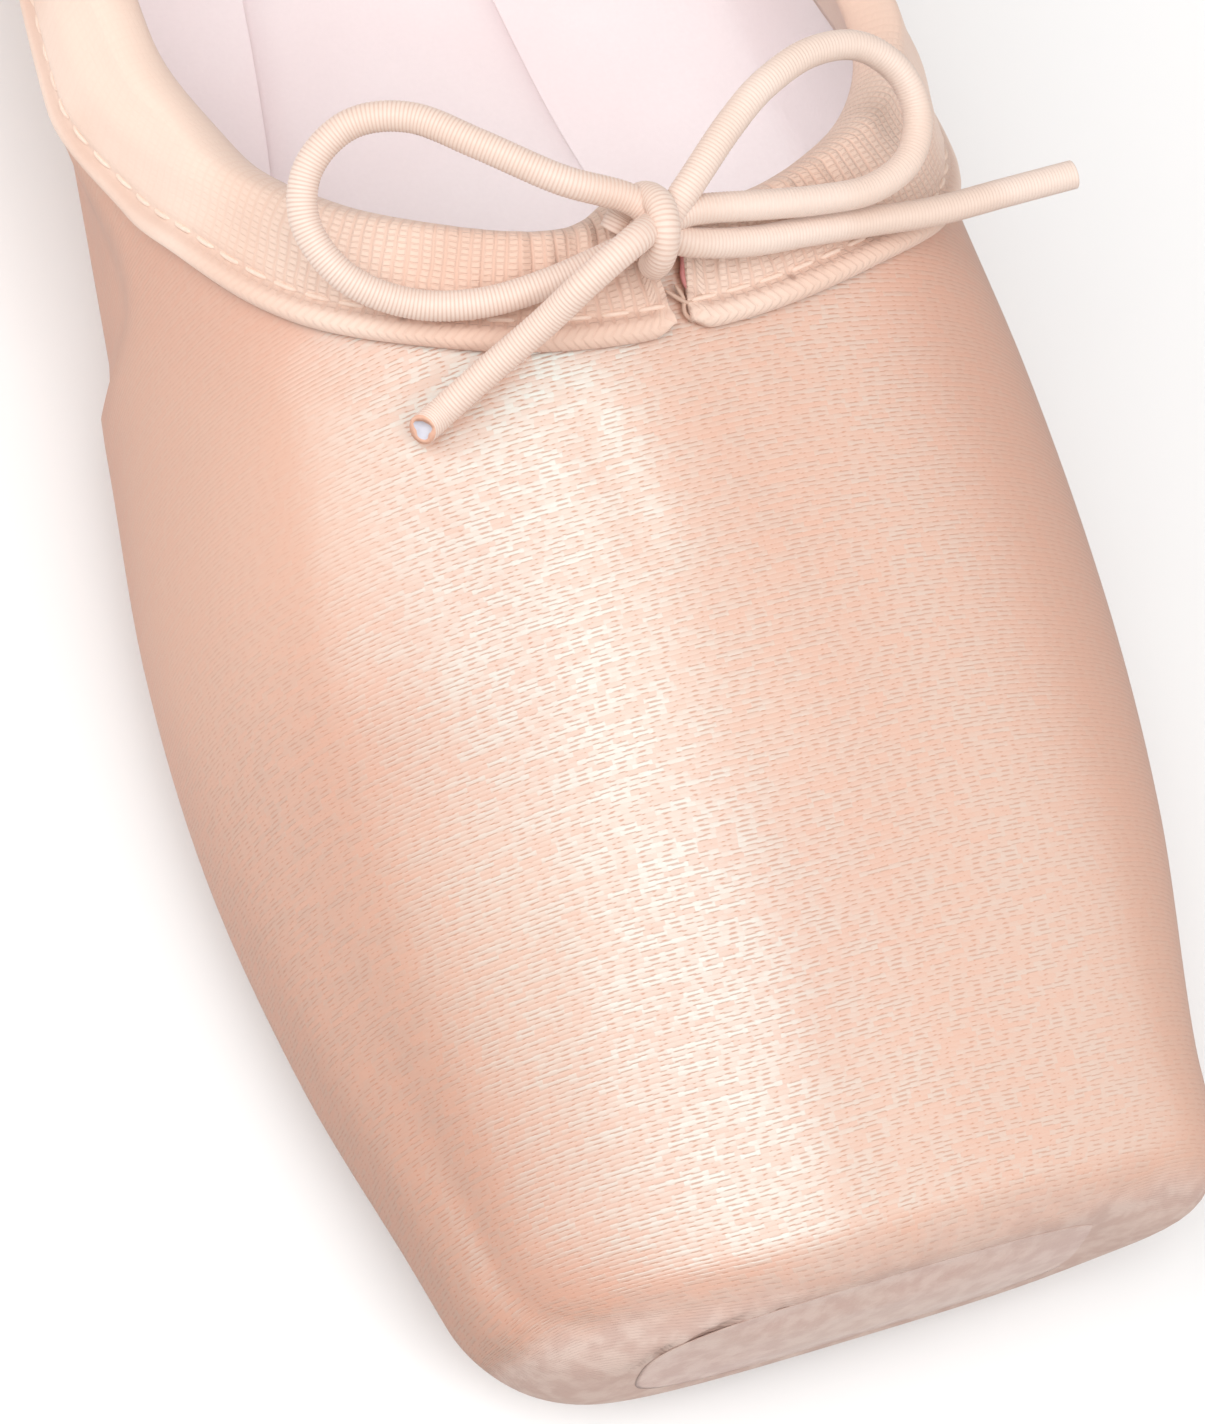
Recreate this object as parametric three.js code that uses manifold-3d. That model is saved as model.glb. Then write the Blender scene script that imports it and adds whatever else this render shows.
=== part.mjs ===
// Pointe shoe, made to fit either foot, standing empty on its sole.
// Toe toward -Y, heel toward +Y, floor at z = 0, all sizes in millimetres.
import * as THREE from 'three';
import Module from 'manifold-3d';

const { clamp, smoothstep, lerp, degToRad } = THREE.MathUtils;

// Overall sizes
const LENGTH = 228;
const BOX_WALL = 2.6;
const QUARTER_WALL = 1.8;
const FIT_GAP = 0.3;

// Toe box
const CORNER_ROUND = 9;
const EDGE_ROUND = 3.6;
const TOE_LEAN = Math.tan(degToRad(5));
const LEAN_LEVEL = 14;
const LEAN_REACH = 60;

// Heel cup
const HEEL_DEPTH = 28;
const HEEL_POWER = 2.2;
const HEEL_BULGE = 20;
const HEEL_TOP_IN = 2.5;
const HEEL_TOP_SPAN = 36;

// Sole and insole
const SOLE_THICK = 2.6;
const SOLE_BEVEL = 0.7;
const SOLE_FRONT = 17;
const SOLE_BACK = 216;
const SOLE_FRONT_ROUND = 16;
const SOLE_BACK_ROUND = 15;
const SOLE_END_HALF = 2;
const TOE_SPRING = 1.4;
const SPRING_REACH = 36;
const ARCH_RISE = 2.8;
const ARCH_FRONT = 92;
const ARCH_TOP = 140;
const ARCH_BACK = 184;
const FLANGE_LAP = 5;
const INSOLE_THICK = 1.2;
const INSOLE_FRONT = 11;
const INSOLE_BACK = 212;
const INSOLE_ROUND = 18;
const INSOLE_MARGIN = 3.5;
const INSOLE_CLEAR = 1.1;

// Toe patch on the flat of the platform
const PATCH_HALF = 19.4;
const PATCH_LOW = 8.6;
const PATCH_HIGH = 22.6;
const PATCH_THICK = 0.8;
const PATCH_BEVEL = 0.2;
const PATCH_POWER = 3.2;
const PATCH_POINTS = 36;

// Binding tape over the collar edge
const TAPE_THICK = 0.8;
const TAPE_AT_THROAT = 8;
const TAPE_AT_SIDE = 10;
const TAPE_WIDENS = 24;
const TAPE_INSIDE = 7;
const TAPE_INNER_CLEAR = 0.15;
const THROAT_GAP_SHARE = 0.006;

// Drawstring bow
const CORD = 2.3;
const CORD_SIDES = 8;
const KNOT_RING = 2.35;
const KNOT_CORE = 1.7;
const KNOT_CORE_LONG = 1.9;
const KNOT_AT = { x: -1.7, at: 72.8, z: 56.1 };
const KNOT_AXIS = new THREE.Vector3(0.924, -0.32, 0.208);

// The last, one row for each cross-section behind the platform
const SECTIONS = [
  { at: 0, halfWidth: 29.5, widest: 14.0, crown: 26.6, floorPower: 3.0, crownPower: 3.0 },
  { at: 14, halfWidth: 32.3, widest: 13.4, crown: 31.6, floorPower: 3.4, crownPower: 2.8 },
  { at: 30, halfWidth: 35.8, widest: 12.8, crown: 37.2, floorPower: 3.8, crownPower: 2.6 },
  { at: 48, halfWidth: 37.9, widest: 12.3, crown: 42.6, floorPower: 4.0, crownPower: 2.4 },
  { at: 66, halfWidth: 37.6, widest: 12.3, crown: 48.2, floorPower: 4.0, crownPower: 2.35 },
  { at: 84, halfWidth: 35.4, widest: 12.8, crown: 54.5, floorPower: 3.6, crownPower: 2.3 },
  { at: 112, halfWidth: 32.2, widest: 14.4, crown: 66.0, floorPower: 3.0, crownPower: 2.4 },
  { at: 146, halfWidth: 28.6, widest: 15.5, crown: 74.0, floorPower: 2.8, crownPower: 2.5 },
  { at: 180, halfWidth: 26.6, widest: 16.5, crown: 76.0, floorPower: 3.2, crownPower: 2.5 },
  { at: 228, halfWidth: 25.4, widest: 17.0, crown: 76.0, floorPower: 3.2, crownPower: 2.5 },
];

// Side view of the collar edge, from the throat to the back of the heel
const COLLAR = [
  { at: 75.2, height: 51.3 },
  { at: 79, height: 49.8 },
  { at: 84, height: 47.0 },
  { at: 92, height: 42.6 },
  { at: 104, height: 39.3 },
  { at: 125, height: 38.5 },
  { at: 155, height: 40.5 },
  { at: 190, height: 47.0 },
  { at: 215, height: 53.5 },
  { at: 232, height: 55.5 },
];

// Plan of the outsole before its ends are rounded
const SOLE_PLAN = [
  { at: 17, half: 15.0 },
  { at: 40, half: 21.5 },
  { at: 62, half: 24.5 },
  { at: 82, half: 23.0 },
  { at: 112, half: 16.0 },
  { at: 145, half: 13.0 },
  { at: 175, half: 15.5 },
  { at: 198, half: 17.5 },
  { at: 216, half: 17.0 },
];

// Zones of columns round half the shoe, as shares of the half outline
const ZONES = [
  { from: 0, to: 0.24, columns: 15 },
  { from: 0.24, to: 0.8, columns: 15 },
  { from: 0.8, to: 1, columns: 8 },
];
const BODY_ROWS = 15;
const RAY_STEPS = 120;
const BISECTIONS = 34;
const BEND_WEIGHT = 16;

// Start of the rays that find the surface, a small loop inside the last
const SPINE_SHARE = 0.22;
const SPINE_FRONT = 90;
const SPINE_BACK = 188;
const SPINE_LEVEL = 18;

// Routes of the cords that leave the knot
const CORD_ROUTES = [
  {
    name: 'bow_loop_left',
    steps: 22,
    points: [
      { x: -3.5, at: 75.2, z: 57.3 },
      { x: -8.4, at: 77.4, z: 58.2 },
      { x: -13.3, at: 81.4, z: 58.2 },
      { x: -17.3, at: 85.0, z: 57.4 },
      { x: -21.4, at: 86.1, z: 56.0 },
      { x: -24.8, at: 84.3, z: 54.0 },
      { x: -25.8, at: 80.8, z: 52.2 },
      { x: -23.9, at: 76.7, z: 51.0 },
      { x: -19.8, at: 73.8, z: 50.6 },
      { x: -15.0, at: 72.3, z: 51.4 },
      { x: -9.8, at: 72.2, z: 52.6 },
      { x: -4.1, at: 72.8, z: 54.3 },
    ],
  },
  {
    name: 'bow_loop_right',
    steps: 22,
    points: [
      { x: 1.2, at: 75.3, z: 57.8 },
      { x: 5.3, at: 78.8, z: 58.8 },
      { x: 8.9, at: 81.3, z: 59.2 },
      { x: 13.4, at: 83.3, z: 58.8 },
      { x: 17.8, at: 83.7, z: 57.6 },
      { x: 21.0, at: 81.9, z: 55.8 },
      { x: 21.9, at: 78.8, z: 54.2 },
      { x: 20.1, at: 75.6, z: 53.6 },
      { x: 16.3, at: 73.8, z: 53.8 },
      { x: 11.7, at: 73.4, z: 54.6 },
      { x: 7.2, at: 73.5, z: 55.4 },
      { x: 1.4, at: 73.8, z: 56.3 },
    ],
  },
  {
    name: 'bow_end_left',
    steps: 8,
    points: [
      { x: -4.6, at: 71.5, z: 58.3 },
      { x: -8.5, at: 69.8, z: 56.8 },
      { x: -11.6, at: 68.7, z: 53.8 },
      { x: -16.1, at: 67.2, z: 50.4 },
      { x: -20.9, at: 65.4, z: 47.0 },
    ],
  },
  {
    name: 'bow_end_right',
    steps: 10,
    points: [
      { x: 0.9, at: 72.0, z: 54.8 },
      { x: 5.7, at: 71.7, z: 53.6 },
      { x: 10.6, at: 72.1, z: 52.4 },
      { x: 16.5, at: 72.5, z: 51.0 },
      { x: 22.3, at: 72.7, z: 50.0 },
      { x: 28.8, at: 73.4, z: 49.2 },
      { x: 35.1, at: 74.0, z: 48.6 },
    ],
  },
];

const SATIN = new THREE.MeshStandardMaterial({ color: 0xe8c0a8, roughness: 0.35 });
const SUEDE = new THREE.MeshStandardMaterial({ color: 0xccb1a6, roughness: 0.95 });
const TAPE = new THREE.MeshStandardMaterial({ color: 0xf3d8c6, roughness: 0.8 });
const ELASTIC = new THREE.MeshStandardMaterial({ color: 0xf3ddce, roughness: 0.7 });
const LEATHER = new THREE.MeshStandardMaterial({ color: 0xd6b894, roughness: 0.7 });
const SOCK = new THREE.MeshStandardMaterial({ color: 0xf1dfdc, roughness: 0.9 });

const group = new THREE.Group();
group.name = 'pointe_shoe';

function addPart(name, geometry, material) {
  const mesh = new THREE.Mesh(geometry, material);
  mesh.name = name;
  group.add(mesh);
}

// Smooth curve through one column of a table
function smooth(rows, column, at) {
  const last = rows.length - 1;
  const place = clamp(at, rows[0].at, rows[last].at);
  let i = 0;
  while (i < last - 1 && place >= rows[i + 1].at) {
    i += 1;
  }
  const slope = (k) => {
    const before = rows[Math.max(k - 1, 0)];
    const after = rows[Math.min(k + 1, last)];
    return (after[column] - before[column]) / (after.at - before.at);
  };
  const span = rows[i + 1].at - rows[i].at;
  const t = (place - rows[i].at) / span;
  const s = 1 - t;
  const values = s * s * (1 + 2 * t) * rows[i][column] + t * t * (3 - 2 * t) * rows[i + 1][column];
  return values + t * s * span * (s * slope(i) - t * slope(i + 1));
}

// Height of the sole's underside: flat at ball and heel, sprung at the toe, arched at the waist
function treadHeight(at) {
  const spring = TOE_SPRING * (1 - smoothstep(at, 0, SPRING_REACH));
  const arch = smoothstep(at, ARCH_FRONT, ARCH_TOP) * (1 - smoothstep(at, ARCH_TOP, ARCH_BACK));
  return spring + ARCH_RISE * arch;
}

// How far a rounded edge draws in at a distance behind the platform
function roundInset(at, radius) {
  const depth = clamp(radius - at, 0, radius);
  return radius - Math.sqrt(radius * radius - depth * depth);
}

// How far into the heel's rounded end a place lies, 0 where it begins and 1 at its back
function heelDepth(at, z) {
  const above = Math.max(z - HEEL_BULGE, 0) / HEEL_TOP_SPAN;
  const back = LENGTH - HEEL_TOP_IN * above ** 2;
  return Math.max(at - back + HEEL_DEPTH, 0) / HEEL_DEPTH;
}

// Sizes of the last's cross-section through a point
function sectionAt(at, z) {
  const station = at - TOE_LEAN * (z - LEAN_LEVEL) * (1 - smoothstep(at, 0, LEAN_REACH));
  const edge = roundInset(Math.max(station, 0), EDGE_ROUND);
  const corner = roundInset(Math.max(station, 0), CORNER_ROUND);
  return {
    station,
    halfWidth: smooth(SECTIONS, 'halfWidth', station) - corner,
    widest: smooth(SECTIONS, 'widest', station),
    crown: smooth(SECTIONS, 'crown', station) - edge,
    floor: treadHeight(station) + SOLE_THICK + FIT_GAP + edge,
    floorPower: smooth(SECTIONS, 'floorPower', station),
    crownPower: smooth(SECTIONS, 'crownPower', station),
  };
}

function roundSum(a, b, power) {
  return (a ** power + b ** power) ** (1 / power);
}

// Above zero inside the last, below zero outside it
function lastLevel(x, at, z) {
  const section = sectionAt(at, z);
  if (section.station < 0) {
    return -1;
  }
  const upper = z >= section.widest;
  const power = upper ? section.crownPower : section.floorPower;
  const height = upper ? section.crown - section.widest : section.widest - section.floor;
  const across = roundSum(Math.abs(x) / section.halfWidth, heelDepth(at, z), HEEL_POWER);
  return 1 - roundSum(across, Math.abs(z - section.widest) / height, power);
}

// Outward direction of the last's surface
function outward(p) {
  const e = 0.02;
  const slope = new THREE.Vector3(
    lastLevel(p.x - e, p.y, p.z) - lastLevel(p.x + e, p.y, p.z),
    lastLevel(p.x, p.y - e, p.z) - lastLevel(p.x, p.y + e, p.z),
    lastLevel(p.x, p.y, p.z - e) - lastLevel(p.x, p.y, p.z + e),
  );
  return slope.normalize();
}

function soleHalf(at, front, back, lap) {
  const lead = clamp((front + SOLE_FRONT_ROUND - at) / SOLE_FRONT_ROUND, 0, 1);
  const trail = clamp((at - back + SOLE_BACK_ROUND) / SOLE_BACK_ROUND, 0, 1);
  const ends = Math.sqrt(1 - lead ** 2) * Math.sqrt(1 - trail ** 2);
  return (smooth(SOLE_PLAN, 'half', at) - lap) * ends;
}

function inOpening(p) {
  const front = SOLE_FRONT + FLANGE_LAP;
  const back = SOLE_BACK - FLANGE_LAP;
  if (p.y <= front || p.y >= back) {
    return false;
  }
  return Math.abs(p.x) < soleHalf(p.y, front, back, FLANGE_LAP);
}

function aboveCollar(p) {
  return p.y > COLLAR[0].at && p.z > smooth(COLLAR, 'height', p.y);
}

function wallAt(at) {
  return lerp(BOX_WALL, QUARTER_WALL, smoothstep(at, 60, 110));
}

// Half of the plan outline, from the middle of the toe to the middle of the heel
function halfOutline() {
  const stations = [0, 0.8, 3, 6, 9];
  for (let at = 20; at < LENGTH - HEEL_DEPTH; at += 15) {
    stations.push(at);
  }
  for (let turn = 0; turn <= 6; turn += 1) {
    stations.push(LENGTH - HEEL_DEPTH * (1 - Math.sin((turn * Math.PI) / 12)));
  }
  const points = [new THREE.Vector3(0, 0, 0), new THREE.Vector3(CORNER_ROUND, 0, 0)];
  for (const at of stations) {
    const ends = (1 - Math.min(heelDepth(at, 0), 1) ** HEEL_POWER) ** (1 / HEEL_POWER);
    const half = smooth(SECTIONS, 'halfWidth', at) * ends;
    points.push(new THREE.Vector3(half - roundInset(at, CORNER_ROUND), at, 0));
  }
  return new THREE.CatmullRomCurve3(points);
}

const OUTLINE = halfOutline();

// Largest value between two limits at which a test still gives its first answer
function lastTrue(low, high, test) {
  let yes = low;
  let no = high;
  for (let i = 0; i < BISECTIONS; i += 1) {
    const middle = (yes + no) / 2;
    if (test(middle)) {
      yes = middle;
    } else {
      no = middle;
    }
  }
  return yes;
}

// One rib of the last: a line on its surface from the sole opening to the collar.
// The share runs from 0 at the toe to 1 at the heel, and is negative on the left side.
function makeRib(share) {
  const edge = OUTLINE.getPointAt(Math.abs(share));
  edge.x *= Math.sign(share);
  const startAt = lerp(SPINE_FRONT, SPINE_BACK, edge.y / LENGTH);
  const start = new THREE.Vector3(SPINE_SHARE * edge.x, startAt, SPINE_LEVEL);
  const plan = new THREE.Vector3(edge.x - start.x, edge.y - start.y, 0).normalize();

  const hit = (angle) => {
    const ray = plan.clone().multiplyScalar(Math.cos(angle));
    ray.z = Math.sin(angle);
    const inside = (reach) => {
      const p = start.clone().addScaledVector(ray, reach);
      return lastLevel(p.x, p.y, p.z) > 0;
    };
    return start.clone().addScaledVector(ray, lastTrue(0, LENGTH, inside));
  };

  const low = lastTrue(-Math.PI / 2, 0, (angle) => inOpening(hit(angle)));
  const high = lastTrue(0, Math.PI / 2, (angle) => !aboveCollar(hit(angle)));
  const angles = [];
  const points = [];
  for (let i = 0; i <= RAY_STEPS; i += 1) {
    angles.push(lerp(low, high, i / RAY_STEPS));
    points.push(hit(angles[i]));
  }

  const lengths = [0];
  const weights = [0];
  for (let i = 1; i <= RAY_STEPS; i += 1) {
    const step = points[i].clone().sub(points[i - 1]);
    const next = points[Math.min(i + 1, RAY_STEPS)].clone().sub(points[i]);
    const bend = next.lengthSq() > 0 ? step.angleTo(next) : 0;
    lengths.push(lengths[i - 1] + step.length());
    weights.push(weights[i - 1] + step.length() + BEND_WEIGHT * bend);
  }

  const angleFor = (measure, value) => {
    let i = 1;
    while (i < RAY_STEPS && measure[i] < value) {
      i += 1;
    }
    const t = clamp((value - measure[i - 1]) / (measure[i] - measure[i - 1]), 0, 1);
    return lerp(angles[i - 1], angles[i], t);
  };

  const total = lengths[RAY_STEPS];
  return {
    below: (drop) => hit(angleFor(lengths, total - drop)),
    body: (part, drop) => {
      const end = weights[lengths.findIndex((length) => length >= total - drop)];
      return hit(angleFor(weights, part * end));
    },
    collar: points[RAY_STEPS],
  };
}

function tapeWidth(at) {
  return lerp(TAPE_AT_THROAT, TAPE_AT_SIDE, smoothstep(at, COLLAR[0].at, COLLAR[0].at + TAPE_WIDENS));
}

// Joins a row of loops into one closed body.
// Each loop is a front run of points followed by a back run of as many, in return order.
function joinLoops(loops, round) {
  const size = loops[0].length;
  const half = size / 2;
  const positions = loops.flat().flatMap((p) => [p.x, p.y, p.z]);
  const triangles = [];
  const quad = (a, b, c, d) => triangles.push(a, b, c, a, c, d);
  const bays = round ? loops.length : loops.length - 1;
  for (let i = 0; i < bays; i += 1) {
    const here = i * size;
    const next = ((i + 1) % loops.length) * size;
    for (let j = 0; j < size; j += 1) {
      const k = (j + 1) % size;
      quad(here + j, next + j, next + k, here + k);
    }
  }
  if (!round) {
    const end = (loops.length - 1) * size;
    for (let j = 0; j < half - 1; j += 1) {
      quad(j, j + 1, size - 2 - j, size - 1 - j);
      quad(end + size - 1 - j, end + size - 2 - j, end + j + 1, end + j);
    }
  }
  const geometry = new THREE.BufferGeometry();
  geometry.setAttribute('position', new THREE.Float32BufferAttribute(positions, 3));
  geometry.setIndex(triangles);
  geometry.computeVertexNormals();
  return geometry;
}

// Shares of all columns, from the toe round the right side to the heel and back on the left
function columnShares() {
  const half = [];
  for (const zone of ZONES) {
    for (let i = 0; i < zone.columns; i += 1) {
      half.push(lerp(zone.from, zone.to, i / zone.columns));
    }
  }
  const left = half.slice(1).reverse().map((share) => -share);
  return [...half, 1, ...left];
}

const SHARES = columnShares();

function upperLoop(share) {
  const rib = makeRib(share);
  const band = tapeWidth(rib.collar.y);
  const outer = [];
  for (let row = 0; row <= BODY_ROWS; row += 1) {
    outer.push(rib.body(row / BODY_ROWS, band));
  }
  outer.push(rib.below(band / 2), rib.below(0));
  const inner = outer.map((p) => p.clone().addScaledVector(outward(p), -wallAt(p.y)));
  return [...outer, ...inner.reverse()];
}

function bindingLoop(share) {
  const rib = makeRib(share);
  const band = tapeWidth(rib.collar.y);
  const wall = wallAt(rib.collar.y);
  const top = rib.below(0);
  const rise = top.clone().sub(rib.below(1)).normalize();
  const layer = (offset, insideDrop) => {
    const inside = -wall - offset - TAPE_INNER_CLEAR;
    const crest = (out) => top.clone().addScaledVector(rise, offset).addScaledVector(outward(top), out);
    const face = (drop, out) => {
      const p = rib.below(drop);
      return p.addScaledVector(outward(p), out);
    };
    return [
      face(band, offset),
      face(band / 2, offset),
      face(0, offset),
      crest(offset * 0.4),
      crest(inside + offset * 0.6),
      face(0, inside),
      face(insideDrop / 2, inside),
      face(insideDrop, inside),
    ];
  };
  const outside = layer(FIT_GAP + TAPE_THICK, TAPE_INSIDE);
  const lining = layer(FIT_GAP, TAPE_INSIDE);
  return [...outside, ...lining.reverse()];
}

// Places along a piece with rounded ends, closer together where the ends turn
function endedStations(front, back, frontRound, backRound, bays) {
  const stations = [];
  const turns = 7;
  for (let i = 0; i < turns; i += 1) {
    stations.push(front + frontRound * (1 - Math.cos((i * Math.PI) / (2 * turns))));
  }
  for (let i = 0; i < bays; i += 1) {
    stations.push(lerp(front + frontRound, back - backRound, i / bays));
  }
  for (let i = 0; i <= turns; i += 1) {
    stations.push(back - backRound * (1 - Math.sin((i * Math.PI) / (2 * turns))));
  }
  return stations;
}

function soleLoop(at) {
  const half = Math.max(soleHalf(at, SOLE_FRONT, SOLE_BACK, 0), SOLE_END_HALF);
  const low = treadHeight(at);
  const high = low + SOLE_THICK;
  const spot = (x, z) => new THREE.Vector3(x, at, z);
  return [
    spot(-half, low + SOLE_BEVEL),
    spot(-half + SOLE_BEVEL, low),
    spot(half - SOLE_BEVEL, low),
    spot(half, low + SOLE_BEVEL),
    spot(half, high - SOLE_BEVEL),
    spot(half - SOLE_BEVEL, high),
    spot(-half + SOLE_BEVEL, high),
    spot(-half, high - SOLE_BEVEL),
  ];
}

function insoleLoop(at) {
  const level = treadHeight(at) + SOLE_THICK;
  const section = sectionAt(at, level);
  const lead = clamp((INSOLE_FRONT + INSOLE_ROUND - at) / INSOLE_ROUND, 0, 1);
  const trail = clamp((at - INSOLE_BACK + INSOLE_ROUND) / INSOLE_ROUND, 0, 1);
  const ends = Math.sqrt(1 - lead ** 2.6) * Math.sqrt(1 - trail ** 2.6);
  const fullWidth = smooth(SECTIONS, 'halfWidth', at) - wallAt(at);
  const half = Math.max((smooth(SOLE_PLAN, 'half', at) - INSOLE_MARGIN) * ends, SOLE_END_HALF);
  const heelIn = heelDepth(at + wallAt(at) + INSOLE_CLEAR, level);
  const across = 6;
  const under = [];
  for (let i = 0; i <= across; i += 1) {
    const x = lerp(-half, half, i / across);
    const reach = roundSum(Math.abs(x) / (fullWidth - INSOLE_CLEAR), heelIn, HEEL_POWER);
    const depth = section.widest - section.floor - wallAt(at) - 2 * FIT_GAP;
    const drop = depth * (1 - reach ** section.floorPower) ** (1 / section.floorPower);
    under.push(new THREE.Vector3(x, at, section.widest - drop));
  }
  const over = under.map((p) => p.clone().setZ(p.z + INSOLE_THICK));
  return [...under, ...over.reverse()];
}

// Suede-like facing, a rounded plate just clear of the platform and leaning with it
function patchGeometry() {
  const middle = (PATCH_LOW + PATCH_HIGH) / 2;
  const halfHeight = (PATCH_HIGH - PATCH_LOW) / 2;
  const shape = new THREE.Shape();
  for (let i = 0; i < PATCH_POINTS; i += 1) {
    const turn = (i * 2 * Math.PI) / PATCH_POINTS;
    const c = Math.cos(turn);
    const s = Math.sin(turn);
    const swell = (Math.abs(c) ** PATCH_POWER + Math.abs(s) ** PATCH_POWER) ** (-1 / PATCH_POWER);
    const x = (PATCH_HALF - PATCH_BEVEL) * c * swell;
    const y = (halfHeight - PATCH_BEVEL) * s * swell;
    if (i === 0) {
      shape.moveTo(x, y);
    } else {
      shape.lineTo(x, y);
    }
  }
  const geometry = new THREE.ExtrudeGeometry(shape, {
    depth: PATCH_THICK - 2 * PATCH_BEVEL,
    bevelThickness: PATCH_BEVEL,
    bevelSize: PATCH_BEVEL,
    bevelSegments: 1,
  });
  geometry.translate(0, 0, PATCH_BEVEL + FIT_GAP);
  geometry.rotateX(Math.PI / 2 - Math.atan(TOE_LEAN));
  geometry.translate(0, TOE_LEAN * (middle - LEAN_LEVEL), middle);
  return geometry;
}

const { Manifold, Mesh } = await Module().then((wasm) => {
  wasm.setup();
  return wasm;
});

function toSolid(geometry) {
  const corners = geometry.getAttribute('position');
  const index = geometry.getIndex();
  const mesh = new Mesh({
    numProp: 3,
    vertProperties: new Float32Array(corners.array),
    triVerts: new Uint32Array(index.array),
  });
  mesh.merge();
  return new Manifold(mesh);
}

function toGeometry(solid) {
  const mesh = solid.getMesh();
  const geometry = new THREE.BufferGeometry();
  geometry.setAttribute('position', new THREE.Float32BufferAttribute(mesh.vertProperties, 3));
  geometry.setIndex([...mesh.triVerts]);
  geometry.computeVertexNormals();
  return geometry;
}

// A turn of cord round the crossing, filled by the strands that pass through it
function knotGeometry() {
  const ring = new THREE.TorusGeometry(KNOT_RING, CORD / 2, 8, 16);
  const core = new THREE.CylinderGeometry(KNOT_CORE, KNOT_CORE, KNOT_CORE_LONG, 12);
  core.rotateX(Math.PI / 2);
  const geometry = toGeometry(toSolid(ring).add(toSolid(core)));
  const turn = new THREE.Quaternion().setFromUnitVectors(
    new THREE.Vector3(0, 0, 1),
    KNOT_AXIS.clone().normalize(),
  );
  geometry.applyQuaternion(turn);
  geometry.translate(KNOT_AT.x, KNOT_AT.at, KNOT_AT.z);
  return geometry;
}

function cordGeometry(route) {
  const circle = new THREE.Shape();
  for (let i = 0; i < CORD_SIDES; i += 1) {
    const turn = ((i + 0.5) * 2 * Math.PI) / CORD_SIDES;
    const x = (CORD / 2) * Math.cos(turn);
    const y = (CORD / 2) * Math.sin(turn);
    if (i === 0) {
      circle.moveTo(x, y);
    } else {
      circle.lineTo(x, y);
    }
  }
  const points = route.points.map((p) => new THREE.Vector3(p.x, p.at, p.z));
  return new THREE.ExtrudeGeometry(circle, {
    steps: route.steps,
    extrudePath: new THREE.CatmullRomCurve3(points),
    bevelEnabled: false,
  });
}

const soleStations = endedStations(SOLE_FRONT, SOLE_BACK, SOLE_FRONT_ROUND, SOLE_BACK_ROUND, 22);
const insoleStations = endedStations(INSOLE_FRONT, INSOLE_BACK, INSOLE_ROUND, INSOLE_ROUND, 18);
const tapeShares = [THROAT_GAP_SHARE, ...SHARES.slice(1), -THROAT_GAP_SHARE];

addPart('upper', joinLoops(SHARES.map(upperLoop), true), SATIN);
addPart('outsole', joinLoops(soleStations.map(soleLoop), false), LEATHER);
addPart('insole', joinLoops(insoleStations.map(insoleLoop), false), SOCK);
addPart('toe_patch', patchGeometry(), SUEDE);
addPart('binding', joinLoops(tapeShares.map(bindingLoop), false), TAPE);

// The shoe without its bow sets the origin, at the middle of its footprint
const middle = new THREE.Box3().setFromObject(group).getCenter(new THREE.Vector3());

addPart('bow_knot', knotGeometry(), ELASTIC);
for (const route of CORD_ROUTES) {
  addPart(route.name, cordGeometry(route), ELASTIC);
}

for (const mesh of group.children) {
  mesh.geometry.translate(-middle.x, -middle.y, 0);
}

export default group;
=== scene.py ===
import math

import bpy
import numpy as np
from mathutils import Matrix, Quaternion, Vector


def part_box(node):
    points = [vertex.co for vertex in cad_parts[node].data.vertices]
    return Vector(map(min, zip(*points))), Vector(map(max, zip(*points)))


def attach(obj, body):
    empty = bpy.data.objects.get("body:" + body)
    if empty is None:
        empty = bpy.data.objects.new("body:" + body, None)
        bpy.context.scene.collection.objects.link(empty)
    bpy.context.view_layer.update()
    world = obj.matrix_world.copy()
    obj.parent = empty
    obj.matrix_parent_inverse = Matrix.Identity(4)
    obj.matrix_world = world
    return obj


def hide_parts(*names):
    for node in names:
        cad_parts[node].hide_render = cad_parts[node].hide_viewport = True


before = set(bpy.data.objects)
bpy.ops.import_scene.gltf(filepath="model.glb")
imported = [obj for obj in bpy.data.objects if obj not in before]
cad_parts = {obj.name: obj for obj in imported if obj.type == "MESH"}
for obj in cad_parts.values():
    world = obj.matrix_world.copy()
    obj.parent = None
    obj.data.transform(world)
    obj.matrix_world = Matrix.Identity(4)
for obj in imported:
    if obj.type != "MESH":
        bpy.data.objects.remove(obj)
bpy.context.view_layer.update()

# Shape of the last, in millimetres: x across, the distance behind the platform, z above the floor
LENGTH = 228.0
BOX_WALL = 2.6
QUARTER_WALL = 1.8
WALL_THINS = (60, 110)
FIT_GAP = 0.3
CORNER_ROUND = 9.0
EDGE_ROUND = 3.6
TOE_LEAN = math.tan(math.radians(5))
LEAN_LEVEL = 14.0
LEAN_REACH = 60.0
HEEL_DEPTH = 28.0
HEEL_POWER = 2.2
HEEL_BULGE = 20.0
HEEL_TOP_IN = 2.5
HEEL_TOP_SPAN = 36.0
SOLE_THICK = 2.6
SOLE_FRONT = 17.0
SOLE_BACK = 216.0
SOLE_FRONT_ROUND = 16.0
SOLE_BACK_ROUND = 15.0
SOLE_END_HALF = 2.0
TOE_SPRING = 1.4
SPRING_REACH = 36.0
ARCH_RISE = 2.8
ARCH_FRONT = 92.0
ARCH_TOP = 140.0
ARCH_BACK = 184.0
FLANGE_LAP = 5.0
INSOLE_THICK = 1.2
INSOLE_FRONT = 11.0
INSOLE_BACK = 212.0
INSOLE_ROUND = 18.0
INSOLE_MARGIN = 3.5
INSOLE_CLEAR = 1.1
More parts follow.
